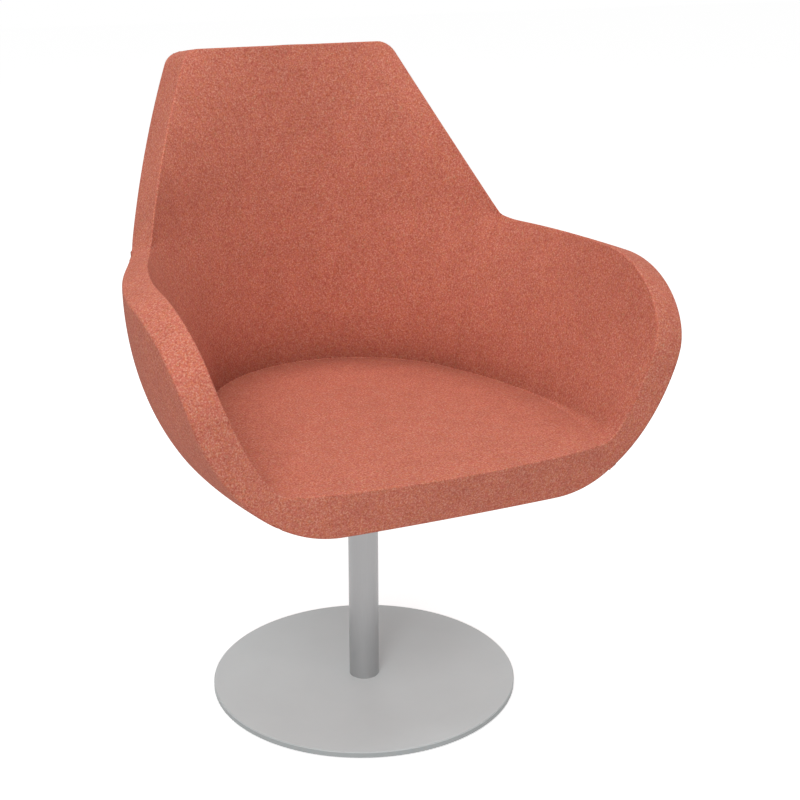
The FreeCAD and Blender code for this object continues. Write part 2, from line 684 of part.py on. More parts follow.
def back_edge(level):
    """Inner edge of the back's side above the notch, and the step across its band."""
    share = (level - NOTCH_LEVEL) / (BACK_TOP - NOTCH_LEVEL)
    swell = 4 * share * (1 - share)
    top_x = size("back_top_half_width")
    top_y = size("back_top_line") - size("back_top_sag")
    edge_x = NOTCH_WIDTH + share * (top_x - NOTCH_WIDTH) + size("back_edge_swell") * swell
    edge_y = SEAM + share * (top_y - SEAM) + size("back_edge_bow") * swell
    side_step = Vector(size("side_step_x"), size("side_step_y"), 0)
    turn = size("side_step_share")
    if share < turn:
        start = notch_step()
        step = start + (side_step - start) * (share / turn)
    else:
        top_step = Vector(size("top_step_x"), size("back_top_band"), 0)
        step = side_step + (top_step - side_step) * ((share - turn) / (1 - turn)) ** 3
    return Vector(edge_x, edge_y, level), step


def upper_arc(level, face, inset, edge_inset):
    """Level arc above the notch on the inner or the outer face."""
    edge, step = back_edge(level)
    across = Vector(step).normalize()
    along = Vector(-across.y, across.x, 0) * edge_inset
    if face == "inner":
        return level_arc(edge + across * inset + along, inner_centre_line(level), inset, level)
    return level_arc(edge + step - across * inset + along, outer_centre_line(level), -inset, level)


def lower_arc(share, face, inset):
    """Level arc below the notch, by share of the wall's height above the crease."""
    foot, middle, rim = arm_wall(SEAM, SEAM, 0)
    sag = (middle - (foot + rim) * 0.5) * (4 * share * (1 - share))
    wall = foot + (rim - foot) * share + sag
    level = wall.z
    if face == "inner":
        return level_arc(wall + Vector(inset, 0, 0), inner_centre_line(level), inset, level)
    end = Vector(seam_outer_width(level) - inset, SEAM, level)
    return level_arc(end, outer_centre_line(level), -inset, level)


def foot_arc(level, face, inset):
    """Level arc of the back below the seat's surface."""
    if face == "inner":
        end = Vector(crease_half_width(SEAM) + inset, SEAM, level)
        return level_arc(end, size("crease_back"), inset, level)
    end = Vector(seam_outer_width(level) - inset, SEAM, level)
    return level_arc(end, outer_centre_line(level), -inset, level)


def tilted(points, drop):
    """Lower the points of the top section towards the back, in one sloping plane."""
    front = size("back_top_line")
    slope = size("back_top_drop") / size("back_top_band")
    return [Vector(point.x, point.y, point.z - drop - slope * (point.y - front)) for point in points]


BOWL_LEVEL = size("bowl_level")
OUTSIDE_SHARES = [0.07, 0.2, 0.4, 0.7, 1]
FOOT_LEVELS = [BOARD_LEVEL, BOARD_TOP_LEVEL, SEAT - CLOTH]
OUTSIDE_LEVELS = [BOWL_LEVEL + share * (BOARD_LEVEL - BOWL_LEVEL) for share in OUTSIDE_SHARES]
LOWER_SHARES = [0.12, 0.35, 0.6, 0.8, 1]
UPPER_SHARES = [0, 0.08, 0.16, 0.3, 0.44, 0.58, 0.72, 0.86, 1]
UPPER_LEVELS = [NOTCH_LEVEL + (BACK_TOP - NOTCH_LEVEL) * share for share in UPPER_SHARES]


def back_wire(front_arc, rear_arc):
    return closed_wire(front_arc + rear_arc[::-1], 1, ["arc", "line", "arc", "line"])


def back_lower(near, far, foot_levels):
    """Back from its foot to the notch between two faces, each a pair of face and inset."""
    wires = [back_wire(foot_arc(level, *near), foot_arc(level, *far)) for level in foot_levels]
    wires += [back_wire(lower_arc(share, *near), lower_arc(share, *far)) for share in LOWER_SHARES]
    return loft(wires)


def fold_blocks(inset):
    """Pair of blocks above the facets where the arm bands turn up into the back's side bands."""
    near = Vector(NOTCH_WIDTH, SEAM, NOTCH_LEVEL)
    along = notch_step().normalize()
    normal = Vector(size("notch_band"), 0, -size("band_drop")).cross(along).normalize()
    down = along.cross(normal)
    reach = 2 * size("notch_band")
    start = near - normal * inset
    corners = [start + along * turn * reach + down * fall * reach
               for turn, fall in ((-1, -1), (1, -1), (1, 1), (-1, 1), (-1, -1))]
    block = Part.Face(Part.makePolygon(corners)).extrude(normal * reach)
    return [block, block.mirror(Vector(0, 0, 0), Vector(1, 0, 0))]


def back_upper(near, far, edge_inset, top_inset):
    """Back from the notch to its top, with square top corners."""
    wires = []
    for level in UPPER_LEVELS:
        front_arc = upper_arc(level, *near, edge_inset)
        rear_arc = upper_arc(level, *far, edge_inset)
        if level == BACK_TOP:
            front_arc = tilted(front_arc, top_inset)
            rear_arc = tilted(rear_arc, top_inset)
        wires.append(back_wire(front_arc, rear_arc))
    return loft(wires)


def rounded_top(shape):
    """Round the two top corners of the back."""
    level = BACK_TOP - size("back_top_drop") - 2 * OVERCUT
    corners = []
    for edge in shape.Edges:
        middle = edge.valueAt((edge.FirstParameter + edge.LastParameter) / 2)
        if edge.BoundBox.ZMin > level and abs(middle.x) > size("back_top_half_width") / 2:
            corners.append(edge)
    return shape.makeFillet(size("top_corner_round"), corners)


def back_trim(inset):
    """Block that holds all of the back above the notch inside its edge, set in as asked."""
    return rounded_top(back_upper(("inner", -OVERCUT), ("outer", -OVERCUT), inset, inset))


def back_foam_shape():
    return Part.makeCompound(back_layer(("inner", FOAM_INSET), ("outer", FOAM_INSET + size("bond"))))


def back_layer(near, far):
    """Layer of the back between two faces, inside its band: below the notch and above it."""
    upper = back_upper(near, far, 0, 0).common((back_trim(FOAM_INSET),), MATCH)
    lower = back_lower(near, far, FOOT_LEVELS).cut(fold_blocks(FOAM_INSET))
    return [lower, upper]


def back_lining():
    """Inner cover of the back, from just below the seat's surface."""
    lower, upper = back_layer(("inner", 0), ("inner", CLOTH))
    reach = 2 * size("crease_back")
    above = Part.makeBox(2 * reach, 2 * reach, reach, Vector(-reach, 0, SEAT - CLOTH))
    return Part.makeCompound([lower.common(above), upper])


def back_outside():
    """Outer cover of the back, down to the underside."""
    near = ("outer", CLOTH)
    far = ("outer", 0)
    foot = loft([back_wire(foot_arc(level, *near), foot_arc(level, *far)) for level in OUTSIDE_LEVELS])
    return Part.makeCompound([foot] + back_layer(near, far))


def back_band():
    """Back's band cover: the facets at the notch, the sides above it and the top, one cloth thick."""
    whole = rounded_top(back_upper(("inner", 0), ("outer", 0), 0, 0))
    foot = back_lower(("inner", 0), ("outer", 0), FOOT_LEVELS).cut(fold_blocks(0))
    facets = [foot.common(block) for block in fold_blocks(CLOTH)]
    return joined([whole.cut(back_trim(CLOTH))] + facets)


def joined(pieces):
    first, *others = pieces
    return first.multiFuse(others).removeSplitter()


# Seat: plan outlines of a front arc, two side arcs and a back arc
def crease_point(along, inset):
    return Vector(crease_half_width(along) - inset, along, 0)


def seat_outline(level, inset, front_inset):
    """Plan outline of the seat at one level, inside the crease."""
    seam = Vector(crease_half_width(SEAM) - inset, SEAM, level)
    front = size("seat_front") + front_inset
    front_corner = Vector(crease_half_width(front) - inset, front, level)
    side_middle = crease_point((SEAM + front) / 2, inset)
    side_middle.z = level
    back_middle = Vector(0, size("crease_back") - inset, level)
    front_middle = Vector(0, front - front_bow(level), level)
    points = [front_corner, side_middle, seam, back_middle, mirrored(seam), mirrored(side_middle),
              mirrored(front_corner), front_middle]
    return closed_wire(points, 1, ["arc", "arc", "arc", "arc"])


def front_bow(level):
    """How far the front edge bows forward, by level: most at the seat's top edge."""
    foot = size("strip_foot")
    share = (min(level, SEAT) - foot) / (SEAT - foot)
    return size("strip_foot_bow") + share * (size("front_bow") - size("strip_foot_bow"))


CORNER_STATIONS = [-170, -210, -250, -320]


def bowl_corner(side, inset):
    """Space under the outer bowl beside the seat's lower front corner."""
    wires = []
    low = BOARD_TOP_LEVEL - OVERCUT
    for along in CORNER_STATIONS:
        level, drop, reach, _ = bowl_ellipse(along, inset)
        wide = crease_half_width(along) + OVERCUT
        start = math.acos((wide - size("bowl_flat")) / reach)
        points = bowl_points(along, along, inset, start, math.asin((level - low) / drop), 2)
        wires.append(closed_wire(points + [Vector(wide, along, low)], side, ["arc", "line", "line"]))
    return loft(wires)


def seat_block(inset, front_inset):
    """Seat between the board and a level above its crown, clear of the outer bowl."""
    levels = [BOARD_TOP_LEVEL + size("bond"), SEAT, SEAT + OVERCUT]
    block = loft([seat_outline(level, inset, front_inset) for level in levels], True)
    return block.cut([bowl_corner(side, FOAM_INSET) for side in (1, -1)])


def crown_ball(sink):
    """Large ball whose top is the seat's crown, sunk below it by the given amount."""
    crown = size("seat_crown")
    span = crease_half_width(ARM_FRONT)
    bend = (span ** 2 + crown ** 2) / (2 * crown)
    centre = Vector(0, -size("crown_forward"), SEAT + crown - bend)
    return Part.makeSphere(bend - sink, centre, Vector(0, 0, 1), 60, 90, 360)


def strip_corner(level, inset):
    """Half width of the front strip: the bowl's outline, then the crease's corner."""
    front = size("seat_front")
    widest, drop, reach, _ = bowl_ellipse(front, inset)
    lift = min(1.0, (widest - level) / drop)
    return min(size("bowl_flat") + reach * math.sqrt(1 - lift ** 2), crease_half_width(front) - size("bond"))


def front_strip_wire(level, near, far):
    """Level section of the front strip between two insets from its face."""
    front = size("seat_front")
    bow = front_bow(level)
    corner = strip_corner(level, near)
    outer = [Vector(corner, front + near, level), Vector(0, front + near - bow, level),
             Vector(-corner, front + near, level)]
    if far is None:
        return closed_wire(outer, 1, ["arc", "line"])
    inner = [Vector(point.x, point.y + far - near, level) for point in outer[::-1]]
    return closed_wire(outer + inner, 1, ["arc", "line", "arc", "line"])


STRIP_RISES = [0, 1.5, 4, 8, 13]
RAIL_LEVELS = [size("strip_foot") + rise for rise in STRIP_RISES] + [BOARD_TOP_LEVEL]
STRIP_LEVELS = RAIL_LEVELS + [BOARD_TOP_LEVEL + OVERCUT, SEAT]


def under_side(along, face, inset):
    """Points of the underside on one side, from the arm's foot in to the flat."""
    _, _, reach, _ = bowl_ellipse(along, inset)
    start = math.acos((crease_half_width(along) - size("bond") - size("bowl_flat")) / reach)
    return bowl_points(along, face, inset, start, math.pi / 2, 2)


def under_stations(front_inset):
    front = size("seat_front") + front_inset
    return [SEAM + (front - SEAM) * step / 5 for step in range(6)]


def under_middle(inset, front_inset):
    """Under-seat form between the front strip and the seam, seen as sections across Y."""
    wires = []
    for along in under_stations(front_inset):
        right = under_side(along, along, inset)
        left = [mirrored(point) for point in right[::-1]]
        top = Vector(right[0].x, along, max(BOARD_TOP_LEVEL, right[0].z + size("bond")))
        points = right + left + [mirrored(top), top]
        wires.append(closed_wire(points, 1, ["arc", "line", "arc", "line", "line", "line"]))
    return loft(wires)


def under_back(inset, top):
    """Under-seat form behind the seam: level sections that shrink towards the flat underside."""
    foot = size("bowl_level") + inset
    levels = [foot + (top - foot) * share for share in (0, 0.12, 0.35, 0.65, 1)]
    return loft([closed_wire(foot_arc(level, "outer", inset), 1, ["arc", "line"]) for level in levels])


def board_surround():
    """Foam beside the seat board behind the seam, inside the crease."""
    levels = (BOARD_LEVEL, BOARD_TOP_LEVEL)
    block = loft([seat_outline(level, size("bond"), FOAM_INSET) for level in levels], True)
    reach = 2 * size("crease_back")
    return block.common(Part.makeBox(2 * reach, reach, reach, Vector(-reach, SEAM, BOARD_LEVEL)))


def pocket(low, high):
    """Square space round the mount plate, between two levels."""
    side = size("pocket_side")
    return Part.makeBox(side, side, high - low, Vector(-side / 2, -side / 2, low))


def under_cover():
    """Cover of the underside: one cloth thick, open at the service pocket."""
    strips = []
    for along in under_stations(FOAM_INSET + size("bond")):
        outer = under_side(along, along, 0)
        inner = under_side(along, along, CLOTH)
        right = outer + [mirrored(point) for point in outer[::-1]]
        left = [mirrored(point) for point in inner] + inner[::-1]
        spans = ["arc", "line", "arc", "line"]
        strips.append(closed_wire(right + left, 1, spans + spans))
    foot = size("bowl_level")
    rear = loft([closed_wire(foot_arc(level, "outer", 0), 1, ["arc", "line"])
                 for level in (foot, foot + CLOTH)])
    return joined([loft(strips), rear]).cut(pocket(foot - OVERCUT, BOARD_TOP_LEVEL))


def tube_path(points, bends):
    """Straight runs joined by tangent arcs of the given radii at the inner points."""
    edges = []
    start = points[0]
    for index, bend in enumerate(bends, start=1):
        before = (points[index - 1] - points[index]).normalize()
        after = (points[index + 1] - points[index]).normalize()
        half_turn = before.getAngle(after) / 2
        reach = bend / math.tan(half_turn)
        enter = points[index] + before * reach
        leave = points[index] + after * reach
        inward = (before + after).normalize()
        middle = points[index] + inward * (bend / math.sin(half_turn) - bend)
        edges += [line(start, enter), arc(enter, middle, leave)]
        start = leave
    edges.append(line(start, points[-1]))
    return Part.Wire(edges)


def swept_tube(points, bends, radius):
    """Solid round bar along the path."""
    ring_wire = Part.Wire([Part.makeCircle(radius, points[0], points[1] - points[0])])
    return tube_path(points, bends).makePipeShell([ring_wire], True, False)


def bent_tube(points, bends):
    """Round tube along the path, open at both ends."""
    outer = swept_tube(points, bends, size("tube_radius"))
    return outer.cut(swept_tube(points, bends, size("tube_radius") - size("tube_wall")))


# Steel hoops: bent tubes in the middle of the foam, with legs that lie on the seat board
LEG_LEVEL = BOARD_TOP_LEVEL + size("tube_radius") + size("bond")


def arm_core(along, share):
    """Middle of an arm's wall, by share of the wall's height."""
    foot, middle, rim = arm_wall(along, along, 0)
    sag = (middle - (foot + rim) * 0.5) * (4 * share * (1 - share))
    wall = foot + (rim - foot) * share + sag
    level, drop, reach, _ = bowl_ellipse(along, 0)
    lift = max(0.0, (level - wall.z) / drop)
    outer = size("bowl_flat") + reach * math.sqrt(1 - lift ** 2)
    return Vector((wall.x + outer) / 2, along, wall.z)


def back_core(level, share):
    """Point inside the back at one level, by share of the turn from the middle to the side."""
    if level > NOTCH_LEVEL:
        edge = back_edge(level)[0]
    else:
        edge = Vector(rim_half_width(SEAM), SEAM, level)
    sag = inner_centre_line(level) - edge.y
    bend = (edge.x ** 2 + sag ** 2) / (2 * sag)
    turn = share * math.atan2(edge.x, bend - sag)
    reach = bend + size("tube_depth")
    centre = inner_centre_line(level) - bend
    return Vector(reach * math.sin(turn), centre + reach * math.cos(turn), level)


def arm_hoop_points(side):
    leg_line = size("arm_leg_line")
    knee = Vector(crease_half_width(leg_line) - size("tube_radius"), leg_line, LEG_LEVEL)
    high = size("arm_hoop_top_share")
    points = [
        Vector(size("arm_leg_start"), leg_line, LEG_LEVEL), knee,
        arm_core(leg_line, size("arm_hoop_foot_share")), arm_core(leg_line, high),
        arm_core(size("arm_hoop_middle"), high), arm_core(size("arm_hoop_end"), high),
    ]
    return [mirrored(point, side) for point in points]


def back_hoop_points():
    start = Vector(size("back_leg_start"), size("back_leg_line"), LEG_LEVEL)
    knee = Vector(size("back_knee_x"), size("back_knee_line"), LEG_LEVEL)
    right = [
        start, knee,
        back_core(NOTCH_LEVEL - size("hoop_notch_drop"), size("hoop_notch_turn")),
        back_core(BACK_TOP - size("hoop_top_drop"), size("hoop_top_turn")),
    ]
    return right + [mirrored(point) for point in right[::-1]]


LEG_BEND = size("leg_bend")
BEND = size("tube_bend")
ARM_BENDS = [LEG_BEND, BEND, BEND, BEND]
BACK_BENDS = [LEG_BEND, BEND, BEND, BEND, BEND, LEG_BEND]


def saddle(place, hoop_points, hoop_bends):
    """Round clamp on the seat board over one leg of a hoop."""
    block = Part.makeCylinder(size("saddle_radius"), size("saddle_height"),
                              Vector(place.x, place.y, BOARD_TOP_LEVEL))
    return block.cut(swept_tube(hoop_points, hoop_bends, size("tube_radius")))


# Foam
for side, name in ((1, "left"), (-1, "right")):
    feature(f"{name}_arm_foam", arm_block(side, FOAM_INSET, FOAM_INSET, FOAM_INSET, FOAM_INSET))
feature("back_foam", back_foam_shape())
seat_form = seat_block(size("bond"), FOAM_INSET)
strip_space = loft([front_strip_wire(level, 0, FOAM_INSET) for level in STRIP_LEVELS], True)
feature("seat_foam", seat_form.common(crown_ball(FOAM_INSET)).cut(strip_space))
under_form = joined([
    under_middle(FOAM_INSET, FOAM_INSET), under_back(FOAM_INSET, BOARD_LEVEL), board_surround(),
])
under_tools = [pocket(BOWL_LEVEL - OVERCUT, BOARD_TOP_LEVEL), board_body.Shape]
feature("under_foam", under_form.cut(under_tools))
feature("front_rail", loft([front_strip_wire(level, FOAM_INSET, None) for level in RAIL_LEVELS], True))

# Covers
for side, name in ((1, "left"), (-1, "right")):
    feature(f"{name}_arm_lining", arm_lining(side))
    feature(f"{name}_arm_outside", arm_outside(side))
    feature(f"{name}_arm_band", arm_band(side))
feature("back_lining", back_lining())
feature("back_outside", back_outside())
feature("back_band", back_band())
feature("seat_cover", seat_form.common(crown_ball(0)).cut(crown_ball(CLOTH)))
feature("front_strip", loft([front_strip_wire(level, 0, CLOTH) for level in STRIP_LEVELS], True))
feature("under_cover", under_cover())


def between(start, end, share):
    return start + (end - start) * share


# Hoops and their saddles
for side, name in ((1, "left"), (-1, "right")):
    feature(f"{name}_arm_hoop", bent_tube(arm_hoop_points(side), ARM_BENDS))
feature("back_hoop", bent_tube(back_hoop_points(), BACK_BENDS))
saddle_places = []
for side in (1, -1):
    points = arm_hoop_points(side)
    saddle_places.append((between(points[0], points[1], size("arm_saddle_share")), points, ARM_BENDS))
back_points = back_hoop_points()
for foot, knee in ((back_points[0], back_points[1]), (back_points[-1], back_points[-2])):
    saddle_places.append((between(foot, knee, size("back_saddle_share")), back_points, BACK_BENDS))
for number, (place, points, bends) in enumerate(saddle_places, start=1):
    feature(f"hoop_saddle_{number}", saddle(place, points, bends))

# Every object has to be sound before anything is written
doc.recompute()
for item in doc.Objects:
    if "Invalid" in item.State or "Error" in item.State:
        raise RuntimeError(f"{item.Label} failed: {item.State}")
for item in NODES:
    if item.Shape.isNull() or not item.Shape.isValid():
        raise RuntimeError(f"{item.Label} has no valid shape")
os.makedirs("parts", exist_ok=True)
for item in NODES:
    item.Shape.exportStep(f"parts/{item.Label}.step")
    extent = item.Shape.optimalBoundingBox()
    print(item.Label, len(item.Shape.Solids), round(item.Shape.Volume), extent)
print(len(NODES), "nodes")
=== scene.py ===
"""Looks of the pedestal swivel armchair: upholstery panels, materials, light and camera.

Shapes are worked out in millimetres in the frame of the CAD model and stored in metres.
"""
import json
import math

import bmesh
import bpy
import numpy as np
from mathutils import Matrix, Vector


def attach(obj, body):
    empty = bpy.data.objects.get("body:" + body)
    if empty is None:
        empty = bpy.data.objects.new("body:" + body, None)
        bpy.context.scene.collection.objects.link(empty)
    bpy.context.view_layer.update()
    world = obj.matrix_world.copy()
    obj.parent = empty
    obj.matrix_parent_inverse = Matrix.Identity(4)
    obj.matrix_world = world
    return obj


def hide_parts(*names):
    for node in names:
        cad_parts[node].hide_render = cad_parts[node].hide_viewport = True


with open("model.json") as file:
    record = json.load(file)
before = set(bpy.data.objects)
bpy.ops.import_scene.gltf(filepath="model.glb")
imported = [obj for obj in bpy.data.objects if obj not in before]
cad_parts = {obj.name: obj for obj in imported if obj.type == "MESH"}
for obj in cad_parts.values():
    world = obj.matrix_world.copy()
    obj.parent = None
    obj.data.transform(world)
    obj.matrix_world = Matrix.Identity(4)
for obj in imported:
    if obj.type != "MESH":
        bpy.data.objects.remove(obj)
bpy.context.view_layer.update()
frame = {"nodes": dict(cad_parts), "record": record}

MM = 0.001

# Levels (Z) and places along Y measured in the photograph, shared with the solids
SEAT = 438.0
SEAM = 92.0  # the seams between the arms and the back
FRONT = -284.0
ARM_FRONT = -286.0
CREST = -120.0  # where the arms' tops begin to fall to the front
BACK_TOP = 914.0
BOWL_FOOT = 350.0  # the flat underside
WIDEST_LEVEL = 652.0

# Arms: arcs are a radius and the two coordinates of a centre
CREASE_ARC = (565.0, -317.4, -150.3)
PLAN_ARC = (630.0, -311.4, -153.0)
NOSE_ARC = (400.0, -77.2, 704.4)
ARC_BLEND = 3.0
RIM_CREST = 663.0
RIM_REAR = 665.5
REAR_RISE = 60.0  # where the rim begins to rise to the notch
NOSE_LEVEL = 545.0
WALL_BEND_FRONT = 1 / 400.0
WALL_BEND_REAR = -1 / 580.0
BAND_WIDE = 40.0
BAND_NARROW = 30.0
BAND_DROP = 13.0  # from the band's inner to its outer edge
MITRE_START = 40.0
MITRE_SHIFT = 16.0
BOWL_FLAT = 150.0  # half width of the flat underside
BOWL_RISE = 25.0  # of the underside to the front
UNDERLAP = 1.0  # of the arm's outside beyond the crease
FRONT_RUN = -235.0  # where the arms' panels begin to lean to the front face
BOW_LEVEL = 375.0
BOW_LOW = 7.0
BOW_HIGH = 25.0
BOW_EASE = 0.15
FRONT_CLOTH = 0.6  # the cloth's surface before the solids' front face

# Back
NOTCH_HALF = 269.0
NOTCH_LEVEL = 670.0
TOP_HALF = 157.0  # half width of the top without its round corners
TOP_PLACE = 250.0
SIDE_SWELL = (3.5, 10.5)
CENTRE_FOOT = 225.0
CENTRE_TOP = 252.0
REAR_FOOT = 190.0
REAR_WAIST = 301.0
REAR_TOP = 302.0
STEP_NOTCH = (23.0, 16.0, 12.0)  # outward, back and down across the band, at the notch
STEP_SIDE = (13.0, 55.0, 15.0)  # the same above the notch
STEP_TOP = (14.0, 50.0, 8.0)  # the same at the top
STEP_RUN = 14.0
DROP_START = 690.0  # from here up the whole outer face, not only its sides, is lowered
DROP_RUN = 200.0
BLEND_REACH = 45.0
TOP_ROUND = 30.0
TOP_LEAN = math.radians(27.3)
TOP_RUN = TOP_ROUND * math.tan((math.pi / 2 - TOP_LEAN) / 2)
TOP_TANGENT = BACK_TOP - TOP_RUN * math.cos(TOP_LEAN)
TOP_CENTRE_X = TOP_HALF - TOP_RUN
TOP_CENTRE_Z = BACK_TOP - TOP_ROUND

# Sizes that set the rows and columns of the grids
ARM_HEIGHT = 240
ARM_OUTSIDE = 330
ARM_BAND = 40
BACK_WIDTH = 500
BACK_BAND = 48
STRIP_WIDTH = 460
STRIP_HEIGHT = 62


# Curves of the shell
def on_circle(value, circle):
    """Coordinate on an arc by its other coordinate."""
    radius, centre, other_centre = circle
    return centre + np.sqrt(radius ** 2 - (value - other_centre) ** 2)


def crease_half(y):
    """Half width of the seat."""
    return on_circle(y, CREASE_ARC)


def rim_level(y):
    """Height of the arms' inner rim edge."""
    rise = np.clip((y - REAR_RISE) / (SEAM - REAR_RISE), 0, 1) ** 2
    notch = RIM_REAR + rise * (NOTCH_LEVEL - RIM_REAR)
    level = RIM_CREST + (y - CREST) / (REAR_RISE - CREST) * (RIM_REAR - RIM_CREST)
    fall = np.clip((CREST - y) / (CREST - ARM_FRONT), 0, 1)
    nose = NOSE_LEVEL + (RIM_CREST - NOSE_LEVEL) * np.sqrt(1 - fall ** 2)
    return np.where(y > REAR_RISE, notch, np.where(y > CREST, level, nose))


def plan_half(y):
    """Half width of the arms' inner rim edge without its turn at the front."""
    return on_circle(y, PLAN_ARC)


def rim_half(y):
    """Half width of the arms' inner rim edge."""
    nose = on_circle(rim_level(y), NOSE_ARC)
    return -ARC_BLEND * np.logaddexp(-plan_half(y) / ARC_BLEND, -nose / ARC_BLEND)


def wall_point(y, t):
    """Inner wall of an arm: t is 0 at the seat and 1 at the rim."""
    foot = np.stack([crease_half(y), np.full_like(y, SEAT)], -1)
    rim = np.stack([rim_half(y), rim_level(y)], -1)
    chord = rim - foot
    length = np.linalg.norm(chord, axis=-1, keepdims=True)
    normal = np.stack([chord[..., 1], -chord[..., 0]], -1) / length
    share = (y - ARM_FRONT) / (SEAM - ARM_FRONT)
    bend = (WALL_BEND_FRONT + (WALL_BEND_REAR - WALL_BEND_FRONT) * share)[..., None]
    bulge = normal * bend * length ** 2 / 8 * (4 * t * (1 - t))[..., None]
    place = foot + chord * t[..., None] + bulge
    return np.stack([place[..., 0], y, place[..., 1]], -1)


def band_width(y):
    return BAND_WIDE - (BAND_WIDE - BAND_NARROW) * np.clip((y - CREST) / (SEAM - CREST), 0, 1)


def outer_rim(y):
    """Outer edge of the arm band for an inner station y: straight across, mitred at the notch."""
    turn = np.clip((y - MITRE_START) / (SEAM - MITRE_START), 0, 1) ** 2
    out_y = y + MITRE_SHIFT * turn
    nose = rim_half(y) - plan_half(y)
    out_x = plan_half(out_y) + band_width(y) + np.where(y < MITRE_START, nose, 0)
    return np.stack([out_x, out_y, rim_level(y) - BAND_DROP + turn], -1)


STATIONS = np.concatenate([
    np.linspace(SEAM, CREST, 60, endpoint=False),
    CREST + (ARM_FRONT - CREST) * np.sin(np.linspace(0, math.pi / 2, 60)),
])
OUTER_LINE = outer_rim(STATIONS)[::-1]


def outer_edge(y):
    """Outer edge of the band by its own place along Y."""
    return (np.interp(y, OUTER_LINE[:, 1], OUTER_LINE[:, 0]),
            np.interp(y, OUTER_LINE[:, 1], OUTER_LINE[:, 2]))


def bowl_foot(y):
    """Level of the underside along the middle."""
    return BOWL_FOOT + BOWL_RISE * (np.minimum(y, 0) / ARM_FRONT) ** 2


def bowl_shape(y):
    """Drop, reach and start of the outer bowl's quarter ellipse, and the band's height above it."""
    wide, high = outer_edge(y)
    drop = WIDEST_LEVEL - bowl_foot(y)
    lift = np.clip((WIDEST_LEVEL - high) / drop, 0, 1)
    reach = (wide - BOWL_FLAT) / np.sqrt(1 - lift ** 2)
    return drop, reach, np.arcsin(lift), np.maximum(high - WIDEST_LEVEL, 0)


def bowl_point(y, v):
    """Outer bowl of an arm: v is 0 at the band and 1 below the crease."""
    drop, reach, start, over = bowl_shape(y)
    end = np.arccos((crease_half(y) + UNDERLAP - BOWL_FLAT) / reach)
    turn = start + (end - start) * v
    level = WIDEST_LEVEL - drop * np.sin(turn) + over * (1 - v) ** 6
    return np.stack([BOWL_FLAT + reach * np.cos(turn), y, level], -1)


def back_centre(z):
    """Place of the back's inner face in the middle."""
    return CENTRE_FOOT + np.clip((z - SEAT) / (BACK_TOP - SEAT), 0, 1) * (CENTRE_TOP - CENTRE_FOOT)


def back_edge(z):
    """Inner edge of the back's side above the notch, without the round top corner."""
    share = (z - NOTCH_LEVEL) / (BACK_TOP - NOTCH_LEVEL)
    swell = 4 * share * (1 - share)
    return (NOTCH_HALF + share * (TOP_HALF - NOTCH_HALF) + SIDE_SWELL[0] * swell,
            SEAM + share * (TOP_PLACE - SEAM) + SIDE_SWELL[1] * swell)


def on_arc(x, edge_x, edge_y, centre_y):
    """Place along Y of a level arc through its edge and its middle."""
    sag = centre_y - edge_y
    bend = (edge_x ** 2 + sag ** 2) / (2 * sag)
    return centre_y - bend + np.sqrt(np.maximum(bend ** 2 - x ** 2, 0))


WALL_T = np.linspace(-0.2, 1, 200)
WALL_LINE = wall_point(np.full_like(WALL_T, SEAM), WALL_T)


def inner_edge(z):
    """Edge of the back's inner face: the seam below the notch, the side above it."""
    low_x = np.interp(z, WALL_LINE[:, 2], WALL_LINE[:, 0])
    high_x, high_y = back_edge(np.maximum(z, NOTCH_LEVEL))
    above = z > NOTCH_LEVEL
    return np.where(above, high_x, low_x), np.where(above, high_y, SEAM)


def rounded_half(z):
    """Half width of the inner face with its round top corner."""
    round_x = TOP_CENTRE_X + np.sqrt(np.maximum(TOP_ROUND ** 2 - (z - TOP_CENTRE_Z) ** 2, 0))
    return np.where(z > TOP_TANGENT, round_x, inner_edge(z)[0])


def inner_back(x, z):
    edge_x, edge_y = inner_edge(z)
    return np.stack([x, on_arc(x, edge_x, edge_y, back_centre(z)), z], -1)


def side_step(z):
    """Step from the inner to the outer edge of the back's band, by the inner edge's level."""
    turn = np.sqrt(np.clip((z - NOTCH_LEVEL) / STEP_RUN, 0, 1))
    rise = np.clip((z - NOTCH_LEVEL) / (BACK_TOP - NOTCH_LEVEL), 0, 1)
    out, back, down = (low + (high - low) * turn for low, high in zip(STEP_NOTCH, STEP_SIDE))
    out = out + (STEP_TOP[0] - STEP_SIDE[0]) * rise ** 3
    back = back + (STEP_TOP[1] - STEP_SIDE[1]) * rise ** 3
    return out, back, down + (STEP_TOP[2] - down) * rise


def outer_centre(z):
    """Place of the back's outer face in the middle."""
    low = np.clip((NOTCH_LEVEL - z) / (NOTCH_LEVEL - BOWL_FOOT), 0, 1)
    below = REAR_FOOT + (REAR_WAIST - REAR_FOOT) * np.sqrt(1 - low ** 2)
    rise = np.clip((z - NOTCH_LEVEL) / (BACK_TOP - NOTCH_LEVEL), 0, 1)
    return np.where(z >= NOTCH_LEVEL, REAR_WAIST + rise * (REAR_TOP - REAR_WAIST), below)


def seam_outer_half(z):
    """Half width of the outer bowl at the seams."""
    drop, reach, _, _ = bowl_shape(np.full_like(z, SEAM))
    lift = np.clip((WIDEST_LEVEL - z) / drop, 0, 1)
    return BOWL_FLAT + reach * np.sqrt(1 - lift ** 2)


def outer_back(share, z):
    """Outer face of the back above the notch: share is -1 to 1 across, z is the inner level."""
    step_x, step_y, lower = side_step(z)
    edge_x, edge_y = back_edge(z)
    x = rounded_half(z) * (1 + step_x / edge_x) * share
    y = on_arc(x, edge_x + step_x, edge_y + step_y, outer_centre(z))
    side = np.abs(share) ** 4
    whole = np.clip((z - DROP_START) / DROP_RUN, 0, 1)
    return np.stack([x, y, z - lower * (side + (1 - side) * whole)], -1)


